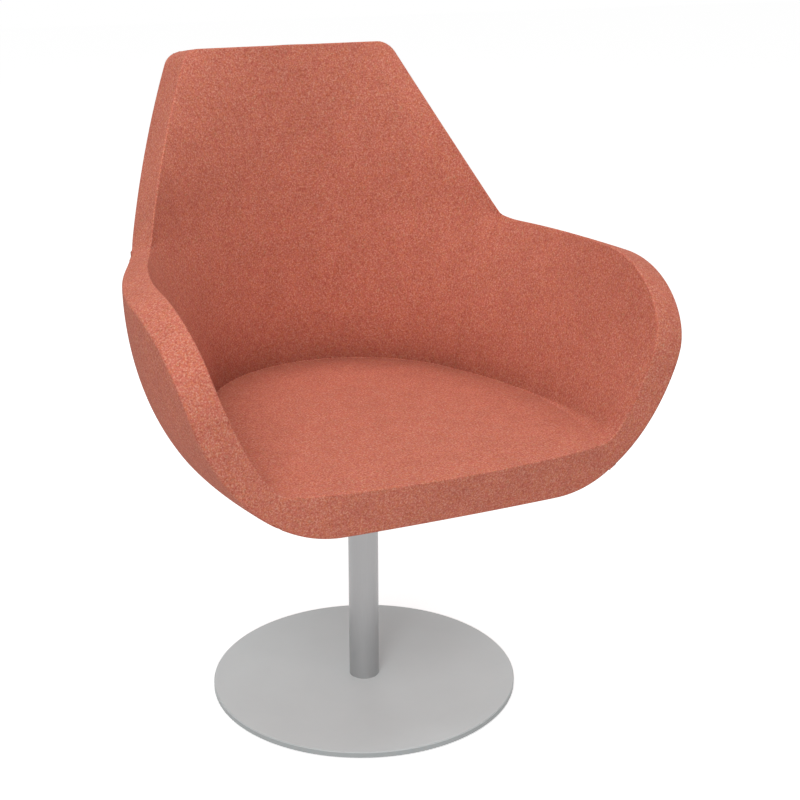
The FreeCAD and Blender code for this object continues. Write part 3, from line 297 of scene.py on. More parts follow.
def outer_low(share, z):
    """Outer face of the back below the notch."""
    edge_x = seam_outer_half(z)
    x = edge_x * share
    return np.stack([x, on_arc(x, edge_x, np.full_like(z, SEAM), outer_centre(z)), z], -1)


FRONT_CORNER = float(crease_half(np.array(FRONT)))


def front_y(x, z):
    """Front face of arms and seat, bowed forward between the arms, most at the seat's edge."""
    bow = BOW_LOW + np.clip((z - BOW_LEVEL) / (SEAT - BOW_LEVEL), 0, 1) * (BOW_HIGH - BOW_LOW)
    spare = 1 - (x / FRONT_CORNER) ** 2
    return FRONT - FRONT_CLOTH - bow * (np.sqrt(spare ** 2 + BOW_EASE ** 2) + spare) / 2


def to_front(points):
    """Bring the front end of an arm's panel to the front face."""
    share = np.clip((FRONT_RUN - points[..., 1]) / (FRONT_RUN - ARM_FRONT), 0, 1) ** 2
    moved = points.copy()
    moved[..., 1] += (front_y(points[..., 0], points[..., 2]) - ARM_FRONT) * share
    return moved


def under_level(x, y):
    """Underside as a height over the plan."""
    drop, reach, _, _ = bowl_shape(np.maximum(y, ARM_FRONT))
    out = np.clip((np.abs(x) - BOWL_FLAT) / reach, 0, 0.999)
    return WIDEST_LEVEL - drop * np.sqrt(1 - out ** 2)


def hollow(high, corner, low, share):
    """Soft hollow from a wall to the seat: it leaves along one and arrives along the other."""
    share = share[..., None]
    return high * (1 - share) ** 2 + corner * 2 * share * (1 - share) + low * share ** 2


# Mesh building
ROUND = 2.2  # radius of a panel's sewn edge
SEWN = ROUND * np.array([0.0, 0.25, 0.5, 0.75, 1.0, 1.6, 2.8])  # rows beside an edge, by distance
SEAM_DEPTH = 0.9
SEAM_WIDTH = 1.4
SWELL_REACH = 25.0
CLOTH_THICKNESS = 2.0
SHARP_ANGLE = 0.6


def spread(length, step, low=True, high=True):
    """Values from 0 to 1 over a length, close together at the sewn ends."""
    start = SEWN[-1] if low else 0.0
    end = length - (SEWN[-1] if high else 0.0)
    values = list(np.linspace(start, end, max(3, int((end - start) / step))))
    if low:
        values = list(SEWN[:-1]) + values
    if high:
        values = values + list(length - SEWN[:-1][::-1])
    return np.array(values) / length


def join(*lines):
    return np.concatenate(lines)


def unit(vectors):
    return vectors / np.maximum(np.linalg.norm(vectors, axis=-1, keepdims=True), 1e-9)


def grid_normals(points):
    """Normals of a grid. Where its lines run almost together, the neighbours' normals stand in."""
    raw = np.cross(unit(np.gradient(points, axis=0)), unit(np.gradient(points, axis=1)))
    wide = raw
    for _ in range(5):
        padded = np.pad(wide, ((1, 1), (1, 1), (0, 0)), mode="edge")
        rows, columns = raw.shape[:2]
        wide = sum(padded[i:i + rows, j:j + columns] for i in range(3) for j in range(3))
    skewed = np.linalg.norm(raw, axis=-1, keepdims=True) < 0.5
    return unit(np.where(skewed, wide, raw))


def softened(points, levels, shares):
    """Smooth a grid of level lines round the notch's level, apart from its side borders."""
    blurred = np.zeros(points.shape)
    offsets = np.linspace(-1, 1, 15)
    weights = 1 - offsets ** 2
    for offset, weight in zip(offsets, weights / weights.sum()):
        place = np.interp(levels + offset * BLEND_REACH, levels, np.arange(len(levels)))
        below = np.minimum(place.astype(int), len(levels) - 2)
        part = (place - below)[:, None, None]
        blurred += weight * (points[below] * (1 - part) + points[below + 1] * part)
    near = np.clip(1.5 - np.abs(levels - NOTCH_LEVEL) / BLEND_REACH, 0, 1)[:, None]
    keep = (near * (1 - np.abs(shares[None]) ** 10))[..., None]
    return points * (1 - keep) + blurred * keep


def border_field(points, border):
    """Distance of every grid point from a border line, and the line's direction there."""
    least = np.full(points.shape[:2], np.inf)
    away = np.zeros(points.shape)
    tangent = np.zeros(points.shape)
    for start, end in zip(border[:-1], border[1:]):
        run = end - start
        length = np.linalg.norm(run)
        if length < 1e-6:
            continue
        share = np.clip(((points - start) @ run) / length ** 2, 0, 1)
        gap = points - (start + share[..., None] * run)
        far = np.linalg.norm(gap, axis=-1)
        nearer = far < least
        least = np.where(nearer, far, least)
        away[nearer] = gap[nearer]
        tangent[nearer] = run / length
    return least, away, tangent


def sewn_panel(points, borders, puff, facing=1):
    """Finish a grid's borders and let the cloth swell between them.

    A border is a line with its kind: "edge" is rounded over to the panel round the corner,
    "seam" is drawn in beside a flat neighbour, and "flush" stays where it is.
    """
    normal = grid_normals(points) * facing
    shift = np.zeros(points.shape)
    nearest = np.full(points.shape[:2], 1000.0)
    for border, kind in borders:
        far, away, tangent = border_field(points, border)
        if kind == "seam":
            move = -normal * (SEAM_DEPTH * np.exp(-far / SEAM_WIDTH))[..., None]
        elif kind == "flush":
            move = np.zeros(points.shape)
        else:
            inward = unit(np.cross(normal, tangent))
            inward *= np.sign(np.sum(inward * away))
            turn = math.pi / 4 * np.clip(1 - far / ROUND, 0, 1)
            slide = np.where(far < ROUND, ROUND * (1 - np.sin(turn)) - far, 0.0)
            move = inward * slide[..., None] - normal * (ROUND * (1 - np.cos(turn)))[..., None]
        closer = far < nearest
        shift[closer] = move[closer]
        nearest = np.where(closer, far, nearest)
    return points + shift + normal * (puff * (1 - np.exp(-nearest / SWELL_REACH)))[..., None]


def meeting(line, target):
    """The nearest places on a target line."""
    least = np.full(len(line), np.inf)
    places = line.copy()
    for start, end in zip(target[:-1], target[1:]):
        run = end - start
        share = np.clip(((line - start) @ run) / max(run @ run, 1e-9), 0, 1)
        place = start + share[:, None] * run
        far = np.linalg.norm(place - line, axis=1)
        nearer = far < least
        least = np.where(nearer, far, least)
        places[nearer] = place[nearer]
    return places


def meet(panel, target):
    """Bring a panel's first row, and less of the rows behind it, to the neighbour's border."""
    shift = meeting(panel[0], target) - panel[0]
    for row, far in zip(panel, SEWN[:-1]):
        row += shift * (1 - far / SEWN[-1])


def add_mesh(name, vertices, faces, uvs):
    """Smooth mesh with flat coordinates, sharp at its borders and at clear bends."""
    mesh = bpy.data.meshes.new(name)
    mesh.from_pydata([tuple(vertex) for vertex in vertices * MM], [], faces)
    layer = mesh.uv_layers.new(name="Panel")
    flat = uvs[[index for face in faces for index in face]].astype(np.float32)
    layer.data.foreach_set("uv", flat.ravel())
    mesh.polygons.foreach_set("use_smooth", [True] * len(mesh.polygons))
    outline = bmesh.new()
    outline.from_mesh(mesh)
    for edge in outline.edges:
        edge.smooth = not edge.is_boundary and edge.calc_face_angle(0) < SHARP_ANGLE
    outline.to_mesh(mesh)
    outline.free()
    mesh.update()
    piece = bpy.data.objects.new(name, mesh)
    bpy.context.scene.collection.objects.link(piece)
    return piece


def grid_faces(rows, columns, facing, skip=None):
    """Faces of a grid of points, on its front or back side, without those to skip."""
    faces = []
    for i in range(rows - 1):
        for j in range(columns - 1):
            if skip is not None and skip(i, j):
                continue
            first, second = i * columns + j, (i + 1) * columns + j
            face = (first, second, second + 1, first + 1)
            faces.append(face if facing > 0 else face[::-1])
    return faces


def line_places(points, axis):
    """Mean distance of each of a grid's lines from the first one."""
    steps = np.linalg.norm(np.diff(points, axis=axis), axis=-1).mean(axis=1 - axis)
    return np.pad(np.cumsum(steps), (1, 0))


def grid_uv(points):
    """Flat coordinates in metres that follow the panel's threads."""
    grid = np.stack(np.meshgrid(line_places(points, 0), line_places(points, 1), indexing="ij"), -1)
    return grid.reshape(-1, 2) * MM


def cloth_piece(name, points, facing, nodes, skip=None):
    """Panel of cloth that stands for the given solids."""
    faces = grid_faces(*points.shape[:2], facing, skip)
    piece = add_mesh(name, points.reshape(-1, 3), faces, grid_uv(points))
    shell = piece.modifiers.new("Cloth thickness", "SOLIDIFY")
    shell.thickness = CLOTH_THICKNESS * MM
    shell.offset = -1
    piece.data.materials.append(CLOTH)
    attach(piece, "seat")
    if nodes:
        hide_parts(*nodes)


def mirrored(points):
    """The same points on the other side of the chair."""
    other = points.copy()
    other[..., 0] *= -1
    return other


# Materials
def new_material(name):
    material = bpy.data.materials.new(name)
    material.use_nodes = True
    tree = material.node_tree
    return material, tree, tree.nodes["Principled BSDF"]


def grey(value):
    return (value, value, value)


def scaled(colour, factor):
    return tuple(factor * part for part in colour)


def body_place(tree):
    """Coordinates that stay with the piece."""
    return tree.nodes.new("ShaderNodeTexCoord").outputs["Object"]


def add(tree, kind, **values):
    """New node with its sockets or its own settings filled in."""
    made = tree.nodes.new(kind)
    for key, value in values.items():
        if key in made.inputs:
            made.inputs[key].default_value = value
        else:
            setattr(made, key, value)
    return made


def graded(tree, source, stops):
    """Colour ramp over a source."""
    made = tree.nodes.new("ShaderNodeValToRGB")
    while len(made.color_ramp.elements) < len(stops):
        made.color_ramp.elements.new(0.5)
    for element, (place, colour) in zip(made.color_ramp.elements, stops):
        element.position = place
        element.color = (*colour, 1)
    tree.links.new(source, made.inputs["Fac"])
    return made.outputs["Color"]


def noise(tree, source, scale, detail=2.0, roughness=0.5, stretch=None):
    if stretch is not None:
        turn = tree.nodes.new("ShaderNodeMapping")
        turn.inputs["Scale"].default_value = stretch
        tree.links.new(source, turn.inputs["Vector"])
        source = turn.outputs["Vector"]
    made = add(tree, "ShaderNodeTexNoise", Scale=scale, Detail=detail, Roughness=roughness)
    tree.links.new(source, made.inputs["Vector"])
    return made.outputs["Fac"]


def mix_colour(tree, factor, first, second, mode="MIX"):
    """Mix of two colours, each given as a value or as another node's output."""
    made = tree.nodes.new("ShaderNodeMix")
    made.data_type = "RGBA"
    made.blend_type = mode
    for socket, value in ((0, factor), (6, first), (7, second)):
        if isinstance(value, bpy.types.NodeSocket):
            tree.links.new(value, made.inputs[socket])
        else:
            made.inputs[socket].default_value = value
    return made.outputs[2]


def bump(tree, shader, height, strength, distance, under=None):
    """Bump on the shader, over another bump where one is given."""
    made = add(tree, "ShaderNodeBump", Strength=strength, Distance=distance)
    tree.links.new(height, made.inputs["Height"])
    if under is not None:
        tree.links.new(under, made.inputs["Normal"])
    tree.links.new(made.outputs["Normal"], shader.inputs["Normal"])
    return made.outputs["Normal"]


def melange_cloth():
    """Woven wool in mixed coral, orange, dark red and grey-beige yarns, with painted shade in its
    creases.
    """
    material, tree, shader = new_material("melange_cloth")
    place = tree.nodes.new("ShaderNodeTexCoord")
    body = place.outputs["Object"]
    yarn = noise(tree, body, 420.0, 2.0, 0.6)
    colour = graded(tree, noise(tree, body, 150.0, 4.0, 0.7), [
        (0.32, (0.450, 0.168, 0.110)), (0.42, (0.530, 0.138, 0.102)), (0.50, (0.510, 0.155, 0.103)),
        (0.58, (0.560, 0.158, 0.086)), (0.68, (0.450, 0.195, 0.125)),
    ])
    pale = graded(tree, noise(tree, body, 480.0, 2.0, 0.6), [(0.46, grey(0)), (0.66, grey(0.8))])
    deep = graded(tree, yarn, [(0.32, grey(0.8)), (0.52, grey(0))])
    colour = mix_colour(tree, pale, colour, (0.64, 0.30, 0.215, 1))
    colour = mix_colour(tree, deep, colour, (0.37, 0.080, 0.052, 1))
    # Painted shade: ambient occlusion darkens the cloth's colour in its creases and where panels
    # meet
    crease = add(tree, "ShaderNodeAmbientOcclusion", Distance=0.11)
    crease.samples = 6
    painted_crease_shade = graded(tree, crease.outputs["AO"], [(0.35, (0.54, 0.49, 0.47)), (0.88, grey(1))])
    cloud = noise(tree, body, 30.0, 3.0, 0.6)
    clouds = graded(tree, cloud, [(0.35, grey(0.96)), (0.65, grey(1.04))])
    for shade in (painted_crease_shade, clouds):
        colour = mix_colour(tree, 1.0, colour, shade, "MULTIPLY")
    tree.links.new(colour, shader.inputs["Base Color"])
    weave = tree.nodes.new("ShaderNodeMath")
    weave.operation = "MULTIPLY"
    for socket, direction in enumerate("XY"):
        wave = add(tree, "ShaderNodeTexWave", Scale=190.0, Distortion=1.5, Detail=1.0,
                   bands_direction=direction)
        tree.links.new(place.outputs["UV"], wave.inputs["Vector"])
        tree.links.new(wave.outputs["Fac"], weave.inputs[socket])
    threads = bump(tree, shader, weave.outputs[0], 0.35, 0.0004)
    bump(tree, shader, yarn, 0.25, 0.0006, threads)
    shader.inputs["Roughness"].default_value = 0.92
    shader.inputs["Specular IOR Level"].default_value = 0.05
    shader.inputs["Sheen Weight"].default_value = 0.02
    shader.inputs["Sheen Roughness"].default_value = 0.5
    return material


def coated_metal(name, colour, edge=1.0):
    """Satin powder coat with a fine orange-peel surface; faces that stand up get painted shade, as
    dark as edge says.
    """
    material, tree, shader = new_material(name)
    body = body_place(tree)
    cloud = noise(tree, body, 9.0, 4.0, 0.6)
    shades = graded(tree, cloud, [(0.3, scaled(colour, 0.95)), (0.7, colour)])
    # Painted shade: faces that stand up, such as the disc's rim, are darkened by their normal, as
    # much as edge says
    facing = tree.nodes.new("ShaderNodeSeparateXYZ")
    normal = tree.nodes.new("ShaderNodeNewGeometry").outputs["Normal"]
    tree.links.new(normal, facing.inputs["Vector"])
    painted_side_shade = graded(tree, facing.outputs["Z"], [(0.5, grey(edge)), (0.9, grey(1))])
    shaded_coat = mix_colour(tree, 1.0, shades, painted_side_shade, "MULTIPLY")
    tree.links.new(shaded_coat, shader.inputs["Base Color"])
    gloss = graded(tree, noise(tree, body, 35.0, 5.0, 0.7), [(0.3, grey(0.45)), (0.7, grey(0.56))])
    tree.links.new(gloss, shader.inputs["Roughness"])
    bump(tree, shader, noise(tree, body, 900.0, 1.0, 0.5), 0.06, 0.0002)
    return material


def brushed_metal(name, colour, roughness, metallic=1.0):
    """Metal with fine brush lines along its length."""
    material, tree, shader = new_material(name)
    lines = noise(tree, body_place(tree), 1500.0, 3.0, 0.6, (1, 1, 0.02))
    shades = graded(tree, lines, [(0.3, scaled(colour, 0.93)), (0.7, colour)])
    tree.links.new(shades, shader.inputs["Base Color"])
    gloss = graded(tree, lines, [(0.3, grey(roughness - 0.04)), (0.7, grey(roughness + 0.06))])
    tree.links.new(gloss, shader.inputs["Roughness"])
    bump(tree, shader, lines, 0.08, 0.0001)
    shader.inputs["Metallic"].default_value = metallic
    return material


def moulded(name, colour, roughness):
    """Moulded plastic or rubber with a fine grain."""
    material, tree, shader = new_material(name)
    grains = noise(tree, body_place(tree), 450.0, 3.0, 0.6)
    shades = graded(tree, grains, [(0.3, scaled(colour, 0.8)), (0.7, colour)])
    tree.links.new(shades, shader.inputs["Base Color"])
    bump(tree, shader, grains, 0.15, 0.0003)
    shader.inputs["Roughness"].default_value = roughness
    return material


def birch_ply():
    """Birch plywood with long grain."""
    material, tree, shader = new_material("birch_ply")
    grain = noise(tree, body_place(tree), 60.0, 6.0, 0.65, (6, 0.5, 6))
    shades = graded(tree, grain, [
        (0.3, (0.42, 0.26, 0.13)), (0.55, (0.60, 0.42, 0.24)), (0.75, (0.68, 0.51, 0.32)),
    ])
    tree.links.new(shades, shader.inputs["Base Color"])
    bump(tree, shader, grain, 0.1, 0.0004)
    shader.inputs["Roughness"].default_value = 0.6
    return material


CLOTH = melange_cloth()
FINISHES = {
    # The disc's rim gets painted shade (0.58), and its coat has a cool tint that cancels the coral
    # light bounced onto it from the seat
    "base_disc": coated_metal("disc_coat", (0.735, 0.785, 0.79), 0.58),
    "column": brushed_metal("column_satin", (0.43, 0.435, 0.44), 0.38, 0.55),
    "floor_pad": moulded("pad_rubber", (0.03, 0.03, 0.03), 0.8),
    "bush": moulded("bush_plastic", (0.03, 0.03, 0.03), 0.5),
    "bearing_steel": brushed_metal("bearing_steel", (0.60, 0.60, 0.61), 0.2),
    "hardware": brushed_metal("zinc_steel", (0.50, 0.51, 0.53), 0.35),
    "mount_steel": coated_metal("mount_coat", (0.035, 0.035, 0.037)),
    "frame_steel": coated_metal("frame_coat", (0.09, 0.09, 0.095)),
    "board": birch_ply(),
    "service_cover": moulded("cover_plastic", (0.035, 0.035, 0.035), 0.6),
}
for part in frame["record"]["subparts"]:
    finish = FINISHES.get(part["material_slot"])
    if finish is not None:
        shown = frame["nodes"][part["node"]]
        if shown.material_slots:
            for holder in shown.material_slots:
                holder.material = finish
        else:
            shown.data.materials.append(finish)


# Panels
LINING_SWELL = 0.8
OUTSIDE_SWELL = 0.5
BAND_SWELL = 0.6
HOLLOW_BACK = 1.0  # reach of the hollow between wall and seat
HOLLOW_FRONT = 22.0
HOLLOW_STEPS = np.linspace(1, 0, 11)[:-1]
FOOT_TURN = 0.8
FOOT_RUN = 130.0


def arm_lining_grid(along):
    """Inner wall of an arm with the hollow at its foot: rows run to the front, columns up."""
    slope = np.gradient(crease_half(along), along)
    fade = FOOT_TURN * np.clip((along - ARM_FRONT) / FOOT_RUN, 0, 1) ** 2
    inward = unit(np.stack([-np.ones_like(along), slope * fade, np.zeros_like(along)], -1))
    forward = np.clip((SEAM - along) / (SEAM - ARM_FRONT), 0, 1) ** 3
    reach = HOLLOW_BACK + (HOLLOW_FRONT - HOLLOW_BACK) * forward
    lift = reach / (rim_level(along) - SEAT)
    foot = wall_point(along, np.zeros_like(along))
    high = wall_point(along, lift)
    low = foot + inward * reach[:, None]
    place, share = np.meshgrid(along, spread(ARM_HEIGHT, 7, False, True), indexing="ij")
    wall = wall_point(place, lift[:, None] + (1 - lift[:, None]) * share)
    steps = np.tile(HOLLOW_STEPS, (len(along), 1))
    curve = hollow(high[:, None], foot[:, None], low[:, None], steps)
    return to_front(np.concatenate([curve, wall], axis=1))


def arm_outside_grid(along, rim_out):
    """Outer wall of an arm: rows run to the front, columns from the band to below the seat."""
    place, share = np.meshgrid(along, spread(ARM_OUTSIDE, 8), indexing="ij")
    outside = to_front(bowl_point(place, share))
    outside[:, 0] = np.where((along > MITRE_START)[:, None], outside[:, 0], rim_out)
    return outside


def nose_line(rim_end, nose_in):
    """Outer edge of the arm's band down the front, opposite its inner edge."""
    travel = np.cumsum(np.linalg.norm(np.diff(join(rim_end, nose_in), axis=0), axis=1))
    _, reach, start, _ = bowl_shape(np.array(ARM_FRONT))
    end = math.acos((nose_in[-1, 0] - BOWL_FLAT) / reach)
    turn = start + (end - start) * travel / travel[-1]
    half = BOWL_FLAT + reach * np.cos(turn)
    level = under_level(half, np.full_like(half, ARM_FRONT))
    return np.stack([half, front_y(half, level), level], -1)


def strip_between(inner, outer, width):
    """Band across two lines of points, with close rows at both edges."""
    across = spread(width, 5)[None, :, None]
    return inner[:, None] * (1 - across) + outer[:, None] * across


def back_lining_grid(levels, shares, arm_corner):
    """Inner face of the back with the hollow at its foot: rows run up, columns across."""
    place, share = np.meshgrid(levels, shares, indexing="ij")
    wall = softened(inner_back(rounded_half(place) * share, place), levels, shares)
    seat_level = np.full_like(shares, SEAT)
    foot = inner_back(rounded_half(seat_level) * shares, seat_level)
    sag = CENTRE_FOOT - SEAM
    bend = (foot[-1, 0] ** 2 + sag ** 2) / (2 * sag)
    low = foot - unit(foot - (0, CENTRE_FOOT - bend, SEAT)) * HOLLOW_BACK
    low[0], low[-1] = arm_corner * (-1, 1, 1), arm_corner
    steps = np.tile(HOLLOW_STEPS[:, None], (1, len(shares)))
    return np.concatenate([hollow(wall[0][None], foot[None], low[None], steps), wall])


def back_band_lines(levels):
    """Inner and outer edge of the back's band: up one side, over the top and down the other."""
    top_share = np.linspace(1, 0, 16)[1:]
    top_level = np.full_like(top_share, BACK_TOP)
    inner = inner_back(rounded_half(levels), levels)
    outer = outer_back(np.ones_like(levels), levels)
    inner = join(inner, inner_back(inner[-1, 0] * top_share, top_level))
    outer = join(outer, outer_back(top_share, top_level))
    return join(inner, mirrored(inner)[::-1][1:]), join(outer, mirrored(outer)[::-1][1:])


# Arms: the lining, the outside and the band over the top, round the nose and down the front
along = join(
    SEAM - spread(SEAM - CREST, 8, True, False) * (SEAM - CREST),
    CREST + (ARM_FRONT - CREST) * np.sin(np.linspace(0, 1, 44)[1:] * math.pi / 2),
)
plain_lining = arm_lining_grid(along)
arm_foot, rim_in = plain_lining[:, 0], plain_lining[:, -1]
nose_in = plain_lining[-1, ::-1][1:]
lining = sewn_panel(plain_lining, (
    (join(rim_in, plain_lining[-1, ::-1]), "edge"), (plain_lining[0], "seam"), (arm_foot, "flush"),
), LINING_SWELL)
rim_out = to_front(outer_rim(along))
plain_outside = arm_outside_grid(along, rim_out)
outside = sewn_panel(plain_outside, (
    (join(plain_outside[:, 0], plain_outside[-1]), "edge"),
    (plain_outside[0], "seam"), (plain_outside[:, -1], "seam"),
), OUTSIDE_SWELL)
inner_line = join(rim_in, nose_in)
outer_line = join(rim_out, nose_line(rim_in[-1:], nose_in))
band = strip_between(inner_line, outer_line, ARM_BAND)
band = sewn_panel(band, ((inner_line, "edge"), (outer_line, "edge")), BAND_SWELL)
meet(lining.swapaxes(0, 1)[::-1], band[:, 0])
meet(lining[::-1], band[:, 0])
meet(outside.swapaxes(0, 1), band[:, -1])
meet(outside[::-1], band[:, -1])
for grid, kind in ((lining, "lining"), (outside, "outside"), (band, "band")):
    for side, shape, facing in (("left", grid, 1), ("right", mirrored(grid), -1)):
        nodes = [f"{side}_arm_{kind}"]
        if kind == "lining":
            nodes.append(f"{side}_arm_foam")
        cloth_piece(f"{side}_arm_{kind}_cloth", shape, facing, nodes)

# Back: the lining, the outside down to the flat underside, and the band, with close rows
# round the notch and in the top corners
LOW_TOP = 655
levels = join(
    np.linspace(SEAT + HOLLOW_BACK, 656, 30), np.linspace(660, 680, 11),
    np.linspace(686, TOP_TANGENT - 3, 32),
    TOP_CENTRE_Z + TOP_ROUND * np.sin(np.linspace(TOP_LEAN, math.pi / 2, 18)),
)
levels = np.unique(join(levels, BACK_TOP - SEWN, [NOTCH_LEVEL]))
low_levels = BOWL_FOOT + (LOW_TOP - BOWL_FOOT) * (1 - np.cos(np.linspace(0, 1, 40) * math.pi / 2))
high_levels = levels[levels >= NOTCH_LEVEL]
shares = spread(BACK_WIDTH, 8) * 2 - 1
plain_lining = back_lining_grid(levels, shares, arm_foot[0])
back_foot = plain_lining[0]
above = len(HOLLOW_STEPS) + np.searchsorted(levels, NOTCH_LEVEL)
ends = join(plain_lining[above:, 0], plain_lining[-1], plain_lining[above:, -1][::-1])
back_lining = sewn_panel(plain_lining, (
    (ends, "edge"), (plain_lining[:above, 0], "seam"), (plain_lining[:above, -1], "seam"),
    (back_foot, "flush"),
), LINING_SWELL, -1)
place, share = np.meshgrid(low_levels, shares, indexing="ij")
low = outer_low(share, place)
place, share = np.meshgrid(high_levels, shares, indexing="ij")
high = outer_back(share, place)
back_outside = softened(join(low, high), join(low_levels, high_levels), shares)
ends = join(high[:, 0], high[-1], high[:, -1][::-1])
back_outside = sewn_panel(back_outside, (
    (ends, "edge"), (low[:, 0], "seam"), (low[:, -1], "seam"),
), OUTSIDE_SWELL)
inner_line, outer_line = back_band_lines(high_levels)
back_band = strip_between(inner_line, outer_line, BACK_BAND)
back_band = sewn_panel(back_band, ((inner_line, "edge"), (outer_line, "edge")), BAND_SWELL, -1)
for grid, first, line in (
        (back_lining, above, back_band[:, 0]), (back_outside, len(low), back_band[:, -1])):
    meet(grid[first:].swapaxes(0, 1), line)
    meet(grid[first:].swapaxes(0, 1)[::-1], line)
    meet(grid[::-1], line)
cloth_piece("back_lining_cloth", back_lining, -1, ("back_lining", "back_foam"))
cloth_piece("back_outside_cloth", back_outside, 1, ("back_outside",))
cloth_piece("back_band_cloth", back_band, -1, ("back_band",))


# Seat cushion: a closed crowned form inside the hollow
CUSHION_MIDDLE = np.array([0.0, -40.0, SEAT])
CUSHION_FOOT = 399.0
CROWN = 2.5
CROWN_REACH = 70.0
SIDE_TOP = 430.0
FRONT_INSET = 5.0  # of the side behind the front strip, and its lean below
FRONT_LEAN = 0.4
SNUG_START = -200.0  # from here to the front the tucked ring stays closer to the cushion
SNUG_RUN = 60.0


def cushion_top(ray, radius, crisp):
    """Rings of points from the cushion's outline to its middle, rounded where it is crisp."""
    depths = list(SEWN) + [10, 16, 24, 34, 46]
    scales = [(radius - far) / radius for far in depths]
    scales += [scales[-1] * share for share in np.linspace(1, 0.05, 14)[1:]]
    rings = []
    for scale in scales:
        far = radius * (1 - scale)
        turn = math.pi / 4 * np.clip(1 - far / ROUND, 0, 1) * crisp
        ring = CUSHION_MIDDLE + ray * scale[:, None]
        slide = ROUND * (1 - np.sin(turn)) - far
        ring[:, 1] += np.where((far < ROUND) & (crisp > 0), slide, 0)
        crown = CROWN * (1 - np.exp(-(far / CROWN_REACH) ** 2))
        ring[:, 2] += crown - ROUND * (1 - np.cos(turn))
        rings.append(ring)
    return rings


def cushion_side(outline, ray, radius, crisp):
    """Rings of points below the cushion's outline, the last tucked under the linings."""
    rings = []
    for far, level in ((9.0, CUSHION_FOOT), (6.0, 406.0), (4.0, SIDE_TOP)):
        ring = CUSHION_MIDDLE + ray * ((radius - far) / radius)[:, None]
        ring[:, 1] += crisp * (FRONT_INSET + (SIDE_TOP - level) * FRONT_LEAN)
        ring[:, 2] = level
        rings.append(ring)
    snug = np.clip((SNUG_START - outline[:, 1]) / SNUG_RUN, 0, 1)
    tuck = CUSHION_MIDDLE + ray * ((radius + 2.0 - 5.0 * snug) / radius)[:, None]
    tuck[:, 2] -= 0.6 + 2.0 * snug
    return rings + [tuck]


def ring_faces(layers, count):
    """Faces between rings of points, and to the two middle points after them."""
    faces = []
    last = (layers - 1) * count
    for start in range(0, last, count):
        upper = start + count
        for index in range(count):
            after = (index + 1) % count
            faces.append((start + index, start + after, upper + after, upper + index))
    top_middle, foot_middle = layers * count, layers * count + 1
    for index in range(count):
        after = (index + 1) % count
        faces.append((last + index, last + after, top_middle))
        faces.append((after, index, foot_middle))
    return faces


end_x = nose_in[-1, 0]
front_x = np.linspace(-end_x, end_x, 90)[1:-1]
seat_level = np.full_like(front_x, SEAT)
seat_front = np.stack([front_x, front_y(front_x, seat_level), seat_level], -1)
outline = join(arm_foot[::-1], back_foot[::-1][1:-1], mirrored(arm_foot), seat_front)
crisp = join(np.zeros(len(outline) - len(seat_front)), np.ones(len(seat_front)))
ray = outline - CUSHION_MIDDLE
radius = np.linalg.norm(ray, axis=1)
top_rings = cushion_top(ray, radius, crisp)
layers = cushion_side(outline, ray, radius, crisp) + top_rings
middles = [CUSHION_MIDDLE + (0, 0, CROWN), (*CUSHION_MIDDLE[:2], CUSHION_FOOT)]
stack = join(*layers, middles)
faces = ring_faces(len(layers), len(outline))
cushion = add_mesh("seat_cushion", stack, faces, stack[:, :2] * MM)
cushion.data.materials.append(CLOTH)
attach(cushion, "seat")
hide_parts("seat_cover", "seat_foam", "front_rail")

# Front strip below the seat's front edge, between the arm bands
across = (spread(STRIP_WIDTH, 7, False, False) * 2 - 1) * end_x
place, rise = np.meshgrid(across, spread(STRIP_HEIGHT, 5), indexing="ij")
strip_foot = under_level(place, np.full_like(place, ARM_FRONT))
level = strip_foot + (SEAT - strip_foot) * rise
points = np.stack([place, front_y(place, level), level], -1)
strip = sewn_panel(points, ((points[:, 0], "edge"), (points[:, -1], "edge")), BAND_SWELL)
corner = lining[-1:, 0]
meet(strip.swapaxes(0, 1)[::-1], join(mirrored(corner), top_rings[0][-len(seat_front):], corner))
strip[0] = meeting(strip[0], mirrored(band[-1]))
strip[-1] = meeting(strip[-1], band[-1])
cloth_piece("front_strip_cloth", strip, 1, ("front_strip",))


# Underside, open over the service cover, and its flat rear
POCKET = 115.0  # half width of the opening
UNDER_HALF = 250.0


def under_grid(rows, columns):
    """Underside from the seams to the front face, as wide as the crease."""
    place_y, place_x = np.meshgrid(rows, columns, indexing="ij")
    spare = np.clip((np.abs(place_x) - BOWL_FLAT) / (UNDER_HALF - BOWL_FLAT), 0, 1)
    place_x = place_x * (1 - spare + spare * crease_half(place_y) / UNDER_HALF)
    level = under_level(place_x, place_y)
    travel = np.clip((-POCKET - place_y) / (-POCKET - FRONT), 0, 1) ** 2
    place_y = place_y + travel * (front_y(place_x, level) - FRONT)
    return np.stack([place_x, place_y, level], -1)


def under_rear_grid():
    """Flat underside behind the seams, out to the bowl's foot."""
    depth = REAR_FOOT - SEAM
    edge = outer_low(np.ones(1), np.array([BOWL_FOOT]))[0, 0]
    bend = (edge ** 2 + depth ** 2) / (2 * depth)
    rows = REAR_FOOT - depth * (1 - np.linspace(0, 1, 14)) ** 2
    place, share = np.meshgrid(rows, np.linspace(-1, 1, 30), indexing="ij")
    half = np.sqrt(np.maximum(bend ** 2 - (place - REAR_FOOT + bend) ** 2, 0.0001))
    return np.stack([half * share, place, np.full_like(place, BOWL_FOOT)], -1)


